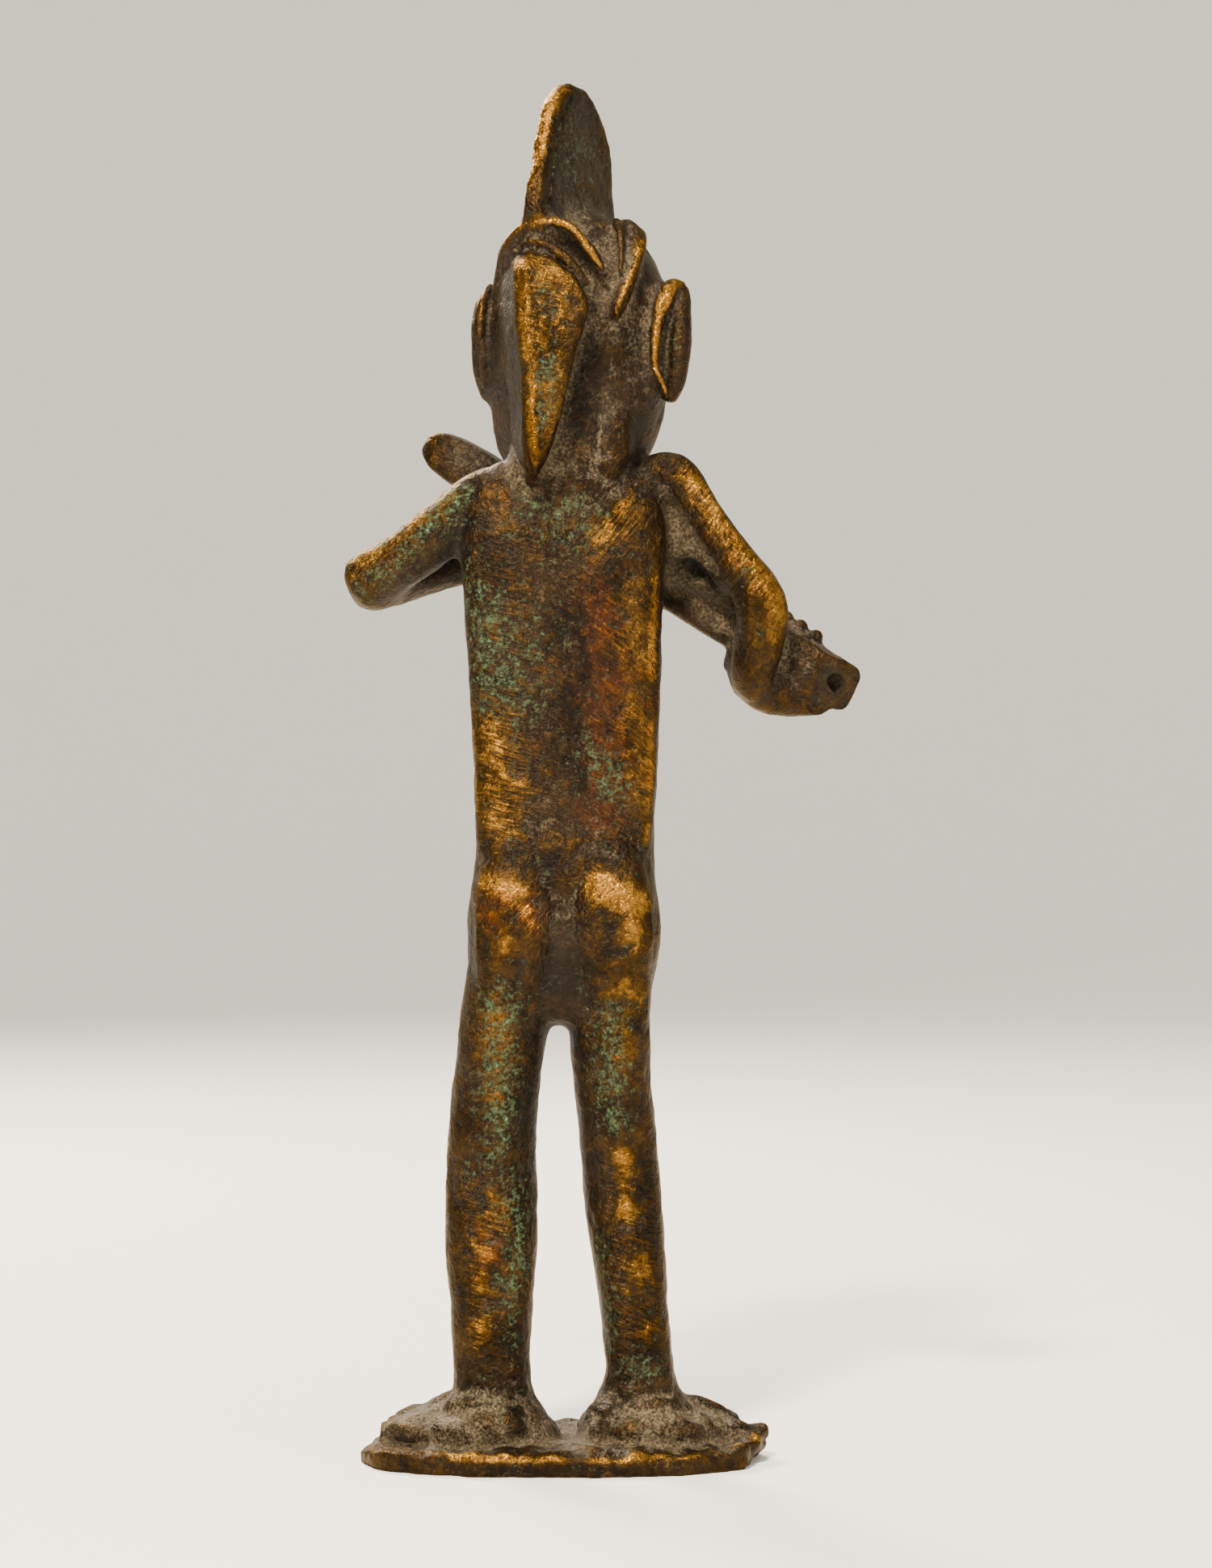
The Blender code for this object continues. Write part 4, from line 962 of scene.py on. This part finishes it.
bare_metal = 0.02 + 0.98 * rubbed + 0.22 * ridge + 0.08 * swell
rubbed = np.clip(bare_metal * (1 - 0.8 * spared) * (1 - 0.5 * shut), 0, 1)
corroded = np.clip(0.25 + 0.75 * corroded - 0.10 * ridge, 0, 1)
settled = dusty * (0.60 + 0.40 * shut) + 0.45 * shut
dusty = np.clip(settled - 0.25 * ridge - 0.15 * swell - 0.9 * painted_shadow_patches, 0, 1)
# Painted shade: a near-black share where the skin is shut in by the rest of the figure and in the painted
# shadow patches, less where verdigris is.
dark = 1.3 * shut - 0.10 - 0.1 * ridge + 0.8 * painted_shadow_patches
painted_shade_amount = np.clip(dark - 0.6 * (corroded - 0.25), 0, 1)


def write_attribute(name, channels):
    """Up to three values for each point of the skin, for the bronze to read."""
    layer = casting.data.color_attributes.new(name=name, type="FLOAT_COLOR", domain="POINT")
    values = np.ones((len(points), 4), np.float32)
    for k, channel in enumerate(channels):
        values[:, k] = channel
    layer.data.foreach_set("color", values.ravel())


write_attribute("patina", (rubbed, corroded, dusty))
write_attribute("tooling", (level_marks, slope_marks, steep_marks))
# The painted shade, then the red cuprite.
write_attribute("shade_and_cuprite", (painted_shade_amount, reddened))


# Old lost-wax bronze. A dark brown oxide skin with red-brown cuprite in it; golden
# metal shows through where it is rubbed or filed; the green is verdigris, the grey dust.
# Near-black is painted shade in hollows and shadowed places.
def sheen(hexed):
    """An sRGB hex colour as Blender's linear colour."""
    parts = [int(hexed[i:i + 2], 16) / 255 for i in (1, 3, 5)]
    return (*[p / 12.92 if p <= 0.04045 else ((p + 0.055) / 1.055) ** 2.4 for p in parts], 1)


bronze = bpy.data.materials.new("old_lost_wax_bronze")
bronze.use_nodes = True
bench = bronze.node_tree
bench.nodes.clear()


def lay(kind, feeds=None, out=0, **settings):
    """Adds a node with its settings, fills its sockets by value or by link, gives an output."""
    made = bench.nodes.new(kind)
    for key, value in settings.items():
        setattr(made, key, value)
    for key, value in (feeds or {}).items():
        if isinstance(value, bpy.types.NodeSocket):
            bench.links.new(value, made.inputs[key])
        else:
            made.inputs[key].default_value = value
    return made.outputs[out] if len(made.outputs) else made


place = lay("ShaderNodeTexCoord", out="Object")
washes = []
for layer, count in (("patina", 3), ("tooling", 3), ("shade_and_cuprite", 2)):
    stored = lay("ShaderNodeVertexColor", layer_name=layer)
    washes += list(lay("ShaderNodeSeparateColor", {0: stored}).node.outputs)[:count]
rub, green, dust, level, slope, steep, painted_shade_cover, red = washes

# File marks lie some 0.4 mm apart and run on for 3 to 5 mm. Three sets cross the back,
# each turned its own way, and they sway by up to 1 mm, as a hand does.
wander = lay("ShaderNodeTexNoise", {"Vector": place, "Scale": 160.0, "Detail": 1.0}, out="Color")
sway = lay("ShaderNodeVectorMath", {0: wander, "Scale": 0.0010}, operation="SCALE")
swayed = lay("ShaderNodeVectorMath", {0: place, 1: sway}, operation="ADD")
strokes = []
for turn, pitch in ((-15, 0.00036), (-34, 0.00034), (50, 0.00038)):
    strokes.append(lay("ShaderNodeMapping", {"Vector": swayed, "Rotation": (0, radians(turn), 0),
                                             "Scale": (0.0038, 0.0016, pitch)}, vector_type="TEXTURE"))

# Patterns from -1 to 1. A row is where it lies, its size in metres, detail, roughness
# and distortion. They are the file marks, then the bronze's own clouds and specks.
patterns = []
for where, size, detail, roughness, distortion in (
        *((stroke, 1.0, 2.0, 0.60, 0.0) for stroke in strokes),
        (place, 0.0070, 4.0, 0.60, 0.0),
        (place, 0.0022, 5.0, 0.62, 0.0),
        (place, 0.0010, 3.0, 0.60, 0.5),
        (place, 0.00036, 3.0, 0.65, 0.0),
        (place, 0.0008, 6.0, 0.78, 0.0)):
    cloud = lay("ShaderNodeTexNoise", {"Vector": where, "Scale": 1 / size, "Detail": detail,
                                       "Roughness": roughness, "Distortion": distortion})
    patterns.append(lay("ShaderNodeMapRange", {"Value": cloud, "From Min": 0.27, "From Max": 0.73,
                                               "To Min": -1.0, "To Max": 1.0}))
level_file, slope_file, steep_file, broad, patchy, leather, fine, speckle = patterns


def with_shares(total, *parts):
    """A value with shares of others added to it. A part is a value and its share."""
    for value, share in parts:
        total = lay("ShaderNodeMath", {0: value, 1: share, 2: total}, operation="MULTIPLY_ADD")
    return total


marks = with_shares(0.0, (level_file, level), (slope_file, slope), (steep_file, steep))
relief = with_shares(0.0, (marks, 0.55), (leather, 0.50), (fine, 0.14))
rub_mix = with_shares(rub, (marks, 0.30), (leather, 0.16), (fine, 0.13), (patchy, 0.12))

# How far each layer covers the one below it. A row is what drives it, where it starts
# and ends, and the cover there.
covers = []
for driver, low, high, first, last in (
        (with_shares(broad, (relief, 0.8)), -0.8, 0.8, 0.0, 1.0),
        (with_shares(red, (patchy, 0.70)), 0.25, 1.30, 0.0, 1.0),
        (rub_mix, 0.02, 0.58, 0.0, 1.0),
        (rub_mix, 0.45, 1.05, 0.0, 1.0),
        (with_shares(dust, (fine, 0.20), (leather, 0.16)), 0.15, 1.0, 0.0, 0.80),
        (speckle, -0.75, -0.50, 1.0, 0.0),
        (with_shares(fine, (speckle, 1.0)), -0.6, 0.7, 0.0, 1.0),
        (fine, -0.6, 0.9, 0.0, 1.0)):
    covers.append(lay("ShaderNodeMapRange", {"Value": driver, "From Min": low, "From Max": high,
                                             "To Min": first, "To Max": last},
                      interpolation_type="SMOOTHSTEP"))
tone, redder, tarnish_cover, gold_cover, dust_cover, pits, green_tone, earth_tone = covers

green_mix = with_shares(0.0, (green, 0.58), (speckle, 0.50), (fine, 0.16), (relief, -0.20),
                        (gold_cover, -0.12))
green_cover = lay("ShaderNodeMapRange", {"Value": green_mix, "From Min": 0.30, "From Max": 0.72,
                                         "To Max": 0.80}, interpolation_type="SMOOTHSTEP")
green_crust = lay("ShaderNodeMapRange", {"Value": with_shares(green_mix, (fine, 0.25)), "From Min": 0.84,
                                         "From Max": 1.10}, interpolation_type="SMOOTHSTEP")

# Each layer is a dark and a light of one colour with a third in places: brown oxide,
# tarnished metal, rubbed metal, verdigris with paler crusts, and dust. The painted shade has one colour,
# near-black.
layers = []
for depth, dark, light, third_cover, third in (
        (tone, "#100b07", "#241b11", redder, "#301b0f"),
        (tone, "#291d0c", "#443014", redder, "#4a2a12"),
        (tone, "#5c3d12", "#8e6528", with_shares(0.0, (redder, 0.7)), "#845223"),
        (green_tone, "#1b2216", "#3f5236", green_crust, "#64a078"),
        (earth_tone, "#322a1f", "#76684f", 0.0, "#76684f")):
    layer = lay("ShaderNodeMix", {0: depth, 6: sheen(dark), 7: sheen(light)}, out=2, data_type="RGBA")
    layers.append(lay("ShaderNodeMix", {0: third_cover, 6: layer, 7: sheen(third)}, out=2, data_type="RGBA"))
colour, tarnish, gold, verdigris, earth = layers
# The last layer is the painted shade, near-black, over hollows and shadowed places.
for cover, layer in ((tarnish_cover, tarnish), (gold_cover, gold), (green_cover, verdigris),
                     (dust_cover, earth), (with_shares(0.0, (painted_shade_cover, 0.6)), sheen("#0e0a06"))):
    colour = lay("ShaderNodeMix", {0: cover, 6: colour, 7: layer}, out=2, data_type="RGBA")

# Bare metal shines. Verdigris and dust take the shine off, and so does the painted shade.
bare = with_shares(0.0, (with_shares(1.0, (green_cover, -1.0)), with_shares(1.0, (dust_cover, -1.0))))
unshaded_share = with_shares(1.0, (painted_shade_cover, -0.8))
metallic = with_shares(0.0, (bare, with_shares(0.75, (tarnish_cover, 0.25))))
metallic = with_shares(0.0, (metallic, unshaded_share))
rough = with_shares(0.71, (gold_cover, -0.16), (bare, -0.35), (fine, 0.06), (painted_shade_cover, 0.30))
height = with_shares(relief, (pits, -0.5), (green_cover, 0.16))
bumped = lay("ShaderNodeBump", {"Height": height, "Strength": 1.0, "Distance": 0.00021})

shader = lay("ShaderNodeBsdfPrincipled", {"Base Color": colour, "Metallic": metallic, "Roughness": rough,
                                          "Normal": bumped, "Specular IOR Level": 0.35,
                                          "Specular Tint": sheen("#d6ccbd")})
lay("ShaderNodeOutputMaterial", {"Surface": shader})
casting.data.materials.append(bronze)

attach(casting, "root")
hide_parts("bronze_figure")

# The studio: a pale floor that sweeps up all round, a small warm light above the
# camera, a broad one overhead, a weak one at the side and one for the figure's front.
# The camera stands level with the middle of the body.
STUDIO_RADIUS = 1.8
STUDIO_HEIGHT = 1.7
bpy.ops.object.select_all(action="DESELECT")
bpy.ops.mesh.primitive_cylinder_add(vertices=128, radius=STUDIO_RADIUS, depth=STUDIO_HEIGHT,
                                    location=(0, 0, STUDIO_HEIGHT / 2))
floor = bpy.context.object
floor.name = "studio_floor"
cove = bmesh.new()
cove.from_mesh(floor.data)
bmesh.ops.delete(cove, geom=[face for face in cove.faces if face.normal.z > 0.5], context="FACES")
cove.to_mesh(floor.data)
cove.free()
sweep = floor.modifiers.new("sweep", "BEVEL")
sweep.width = 0.8
sweep.segments = 16
bpy.ops.object.modifier_apply(modifier=sweep.name)
bpy.ops.object.shade_smooth()
paper = bpy.data.materials.new("pale_paper_floor")
paper.use_nodes = True
paper_shader = paper.node_tree.nodes["Principled BSDF"]
paper_shader.inputs["Base Color"].default_value = sheen("#e9e7e2")
paper_shader.inputs["Roughness"].default_value = 0.9
floor.data.materials.append(paper)

world = bpy.data.worlds.new("pale_studio")
world.use_nodes = True
world.node_tree.nodes["Background"].inputs["Color"].default_value = sheen("#eceae6")
world.node_tree.nodes["Background"].inputs["Strength"].default_value = 0.75
bpy.context.scene.world = world

for name, place, size, power, tint in (
        ("key_light", (0.12, 0.38, 0.50), 0.08, 10.5, "#ffeed8"),
        ("overhead_light", (0.0, 0.20, 1.60), 1.60, 20.0, "#fffaf2"),
        ("fill_light", (-0.50, 0.40, 0.25), 0.40, 1.0, "#fff6ea"),
        ("front_light", (0.25, -0.50, 0.50), 0.24, 12.0, "#fff2e2")):
    lamp = bpy.data.lights.new(name, "AREA")
    lamp.shape = "DISK"
    lamp.size = size
    lamp.energy = power
    lamp.color = sheen(tint)[:3]
    stand = bpy.data.objects.new(name, lamp)
    bpy.context.scene.collection.objects.link(stand)
    stand.location = place
    stand.rotation_euler = (Vector((0, 0, 0.08)) - Vector(place)).to_track_quat("-Z", "Y").to_euler()

lens = bpy.data.cameras.new("studio_camera")
lens.lens = 92.74
lens.sensor_width = 36.0
camera = bpy.data.objects.new("studio_camera", lens)
camera.location = (-0.0053, 0.5, 0.0837)
camera.rotation_euler = (radians(90), 0, radians(180))
bpy.context.scene.collection.objects.link(camera)
bpy.context.scene.camera = camera
